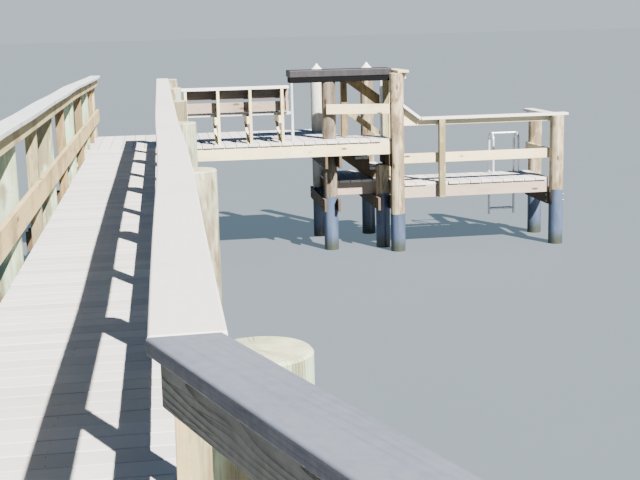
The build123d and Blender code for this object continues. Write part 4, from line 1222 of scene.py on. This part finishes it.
class BOARDWALK_OT_landing(bpy.types.Operator):
    """Fix the rails of the lower landing and its ladder"""

    bl_idname = "boardwalk.landing"
    bl_label = "Landing rails and ladder"

    def execute(self, context):
        planks(70, ((NEWEL_X, NEWEL_X + POST_W, PLAT_Y0 - POST_W, PLAT_Y0, LOW_BEAM_TOP, LOW_CAP_UNDER, "z"),),
               "landing_newel", "Post timber", "sawn_timber")
        bundle = Bundle(71)
        side_x0, short = LINE_C - FLAT - PLANK, 0.085
        lap = CORNER_X + 0.050
        for z0, z1 in ((LOW_TOP + MID_RAIL_LOW, LOW_TOP + MID_RAIL_LOW + BOARD_W),
                       (LOW_CAP_UNDER - TOP_RAIL_H, LOW_CAP_UNDER)):
            bundle.box(lap, LINE_C - short, PLAT_Y0, PLAT_Y0 + PLANK, z0, z1, "x", bow=BOW)
            bundle.box(side_x0, side_x0 + PLANK, PLAT_Y0 + PLANK, C_FAR_Y + PILE_R, z0, z1)
        foot, head, wedge_h = LOW_CAP_X0 - 0.013, lap + 0.020, 0.202
        wedge = [(head, LOW_CAP_UNDER), (foot, LOW_CAP_UNDER), (head, LOW_CAP_UNDER + wedge_h)]
        bundle.outline(wedge, PLAT_Y0 + PLANK)
        bundle.piece("landing_rail_planks", "Rim timber", "sawn_timber", "lower_rails")
        bundle = Bundle(72)
        y0 = PLAT_Y0 + PLANK + CAP_IN - CAP_W
        y1 = y0 + CAP_W
        z0, z1 = LOW_CAP_UNDER, LOW_CAP_UNDER + PLANK
        cap_past, rise, run, short = 0.165, 0.227, LOW_CAP_X0 - lap, 0.040
        cap = dict(arris=context.scene.boardwalk.cap_edge, steps=3, step=0.4)
        bundle.box(LOW_CAP_X0, LINE_C + cap_past, y0, y1, z0, z1, "x", **cap)
        bundle.box(side_x0 - CAP_IN, side_x0 - CAP_IN + CAP_W, y1, C_FAR_Y + PILE_R, z0, z1, **cap)
        normal = np.array([rise, 0.0, run]) / math.hypot(rise, run)
        a = np.array([LOW_CAP_X0, PLAT_Y0 + PLANK + CAP_IN - CAP_W / 2, z1]) - normal * PLANK / 2
        b = np.array([lap + short, a[1], z1 + rise * (run - short) / run]) - normal * PLANK / 2
        bundle.timber(a, b, normal, CAP_W, PLANK, arris=0.005, cuts=(ALONG_X, ALONG_X))
        points = bundle.points[-1]
        points[:, 2] = np.maximum(points[:, 2], LOW_CAP_UNDER)
        bundle.piece("landing_cap_planks", "Rail cap", "rail_cap", "lower_rail_cap")
        self.ladder()
        return {"FINISHED"}

    def ladder(self):
        """Two bent tubes with feet on the deck, a bar across their tops and two ribbed steps."""
        bundle = Bundle(73)
        r, bend_r, tube_in, step_in = 0.0175, 0.110, 0.016, 0.032
        x0, x1, outer, low, bend_z = 4.835, 5.265, LOW_Y1 + tube_in, 0.330, LOW_TOP + 0.500
        arc = np.linspace(0, math.pi, 19)
        flange = [(0.0004, 0.0), (0.034, 0.0), (0.034, 0.005), (0.020, 0.008), (0.017, 0.020), (0.0004, 0.020)]
        for x in (x0 + tube_in, x1 - tube_in):
            path = [(x, outer, z) for z in np.linspace(low, bend_z, 8)[:-1]]
            path += [(x, outer - bend_r + bend_r * math.cos(t), bend_z + bend_r * math.sin(t)) for t in arc]
            path += [(x, outer - 2 * bend_r, z) for z in np.linspace(bend_z, LOW_TOP + 0.006, 6)[1:]]
            bundle.tube(path, r)
            bundle.lathe((x, outer - 2 * bend_r, LOW_TOP), UP, flange, 24)
        bar = [(x, outer - bend_r, bend_z + bend_r) for x in np.linspace(x0 + 0.020, x1 - 0.020, 5)]
        bundle.tube(bar, r * 0.95)
        bundle.piece("ladder_tubes", "Aluminium", "ladder_metal", "ladder_rails", smooth=40)
        bundle = Bundle(74)
        y = outer - tube_in
        for z in (0.400, 0.650):
            bundle.box(x0 + step_in, x1 - step_in, y, y + 0.080, z, z + 0.024, "x", arris=0.004)
            for rib in y + 0.008 + np.arange(6) * 0.0125:
                bundle.box(x0 + 0.040, x1 - 0.040, rib, rib + 0.004, z + 0.023, z + 0.028, "x", arris=0.001)
        bundle.piece("ladder_step_treads", "Aluminium", "ladder_metal", "ladder_steps")


class BOARDWALK_OT_fixings(bpy.types.Operator):
    """Set the deck screws and the bolts through the beams"""

    bl_idname = "boardwalk.fixings"
    bl_label = "Screws and bolts"

    def execute(self, context):
        s = context.scene.boardwalk
        head = [(0.0044, -0.001), (0.0042, 0.0004), (0.0022, 0.0010), (0.0001, 0.0011)]
        pitch = s.board_width + s.board_gap
        apart, stray, inside = (-0.045, 0.045), 0.004, 0.012
        low = BEND_Y + X_LEFT * MITRE
        bundle = Bundle(80)
        for end in (PLAT_Y0, APPROACH_END):
            first = bundle.count
            for far in end - np.arange(0, end - low, pitch):
                middle = far - s.board_width / 2
                for x in (X_RIGHT - PLANK / 2, (X_LEFT + X_RIGHT) / 2, X_LEFT + PLANK / 2):
                    for dy in apart:
                        y = middle + dy + bundle.rng.uniform(-stray, stray)
                        if y > BEND_Y + x * MITRE + inside:
                            place = (x + bundle.rng.uniform(-stray, stray), y, DECK_TOP - 0.0012)
                            bundle.lathe(place, UP, head, 8)
        bundle.mirrored(first)
        bundle.piece("deck_screws", "Deck screw", "ladder_metal", smooth=50)

        bundle = Bundle(81)
        washer = [(0.022, 0.0), (0.022, 0.0025), (0.0135, 0.003), (0.0132, 0.012), (0.0075, 0.0125), (0.0075, 0.020),
                  (0.0060, 0.022), (0.0003, 0.022)]
        rows = []
        for bend_x, x in ((0.0, PILE_X_RIGHT), (PILE_X_LEFT, PILE_X_LEFT)):
            rows.append((bend_x, bend_x * MITRE, BEAM_MID, np.array(MITRE_NORMAL)))
            rows += [(x, y, BEAM_MID, np.array([0.0, 1.0, 0.0])) for y in ROWS[1:-1]]
        right = np.array(ALONG_X)
        rows += [(x, y, BEAM_MID, right) for x, y in (
            (LINE_A, ROW_NEAR), (LINE_A, ROW_FAR), (PILE_X_LEFT, PLAT_ROW), (PILE_X_RIGHT, PLAT_ROW),
            (PILE_X_LEFT, ROWS[-1]), (PILE_X_RIGHT, ROWS[-1]))]
        rows += [(x, y, LOW_BEAM_MID, right) for x, y in (
            (LINE_A, ROW_NEAR), (LINE_A, ROW_FAR), (LINE_B, ROW_NEAR), (LINE_B, ROW_FAR),
            (LINE_C, C_NEAR_Y + 0.055), (LINE_C, C_FAR_Y))]
        for x, y, z, out in rows:
            for sign in (-1, 1):
                for dz in apart:
                    bundle.lathe(np.array([x, y, z + dz]) + out * sign * (FLAT + PLANK), out * sign, washer, 12)
        bundle.piece("beam_bolts", "Steel", "ladder_metal", smooth=35)
        return {"FINISHED"}


class BOARDWALK_OT_stage(bpy.types.Operator):
    """Set the floor, the light and the camera"""

    bl_idname = "boardwalk.stage"
    bl_label = "Floor, light and camera"

    def execute(self, context):
        scene = context.scene
        mesh = bpy.data.meshes.new("stage_floor")
        mesh.from_pydata([(-900, -900, 0), (900, -900, 0), (900, 900, 0), (-900, 900, 0)], [], [(0, 1, 2, 3)])
        floor = bpy.data.objects.new("stage_floor", mesh)
        scene.collection.objects.link(floor)
        material, g, shader = new_material("Pale floor")
        tone = g.mix(g.noise(g.place(), 0.4, 2.0), (0.062, 0.074, 0.084, 1), (0.068, 0.080, 0.090, 1))
        g.feed(shader, {"Base Color": tone, "Roughness": 0.8, "Emission Color": (0.52, 0.73, 0.90, 1.0),
                        "Emission Strength": 0.25})
        mesh.materials.append(material)

        world = bpy.data.worlds.new("Soft sky")
        world.use_nodes = True
        sky = Graph(world.node_tree)
        fill = sky.node("ShaderNodeBackground", {0: (0.22, 0.50, 1.0, 1.0), 1: 0.27})
        backdrop = sky.node("ShaderNodeBackground", {0: (0.66, 0.76, 0.84, 1.0), 1: 0.95})
        seen = sky.node("ShaderNodeLightPath").outputs["Is Camera Ray"]
        both = sky.node("ShaderNodeMixShader", {0: seen, 1: fill.outputs[0], 2: backdrop.outputs[0]})
        sky.feed(world.node_tree.nodes["World Output"], {0: both.outputs[0]})
        scene.world = world

        light = bpy.data.lights.new("Key light", "SUN")
        light.energy = 26.0
        light.cycles.max_bounces = 1
        light.angle = math.radians(0.7)
        light.color = (1.0, 0.95, 0.88)
        key = bpy.data.objects.new("Key light", light)
        key.rotation_mode = "QUATERNION"
        elevation = math.radians(40.0)
        toward = Vector((0.451 * math.cos(elevation), -0.893 * math.cos(elevation), math.sin(elevation)))
        key.rotation_quaternion = toward.to_track_quat("Z", "Y")
        scene.collection.objects.link(key)

        camera = bpy.data.cameras.new("Camera")
        camera.lens = 62.2
        camera.sensor_width = 36.0
        camera.clip_start = 0.05
        camera.clip_end = 2000.0
        view = bpy.data.objects.new("Camera", camera)
        rows = Matrix((
            (0.98947956, -0.14257249, -0.02456167),
            (0.05025661, 0.17953573, 0.98246689),
            (-0.13566306, -0.9733653, 0.18481215),
        ))
        view.matrix_world = Matrix.Translation((-0.167, -2.07, 3.21)) @ rows.transposed().to_4x4()
        scene.collection.objects.link(view)
        scene.camera = view
        return {"FINISHED"}


class BOARDWALK_PT_panel(bpy.types.Panel):
    """The boardwalk's tools in the sidebar"""

    bl_label = "Boardwalk"
    bl_idname = "BOARDWALK_PT_panel"
    bl_space_type = "VIEW_3D"
    bl_region_type = "UI"
    bl_category = "Boardwalk"

    def draw(self, context):
        settings = context.scene.boardwalk
        column = self.layout.column()
        for name in BoardwalkSettings.__annotations__:
            column.prop(settings, name)
        for operator in OPERATORS:
            column.operator(operator.bl_idname)


OPERATORS = (
    BOARDWALK_OT_decks,
    BOARDWALK_OT_frame,
    BOARDWALK_OT_piles,
    BOARDWALK_OT_rails,
    BOARDWALK_OT_platform,
    BOARDWALK_OT_landing,
    BOARDWALK_OT_fixings,
    BOARDWALK_OT_stage,
)


def register():
    for cls in (BoardwalkSettings, *OPERATORS, BOARDWALK_PT_panel):
        bpy.utils.register_class(cls)
    bpy.types.Scene.boardwalk = bpy.props.PointerProperty(type=BoardwalkSettings)


def unregister():
    del bpy.types.Scene.boardwalk
    for cls in (BOARDWALK_PT_panel, *reversed(OPERATORS), BoardwalkSettings):
        bpy.utils.unregister_class(cls)


def main():
    """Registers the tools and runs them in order."""
    register()
    bpy.ops.boardwalk.decks()
    bpy.ops.boardwalk.frame()
    bpy.ops.boardwalk.piles()
    bpy.ops.boardwalk.rails()
    bpy.ops.boardwalk.platform()
    bpy.ops.boardwalk.landing()
    bpy.ops.boardwalk.fixings()
    bpy.ops.boardwalk.stage()


if __name__ == "__main__":
    main()
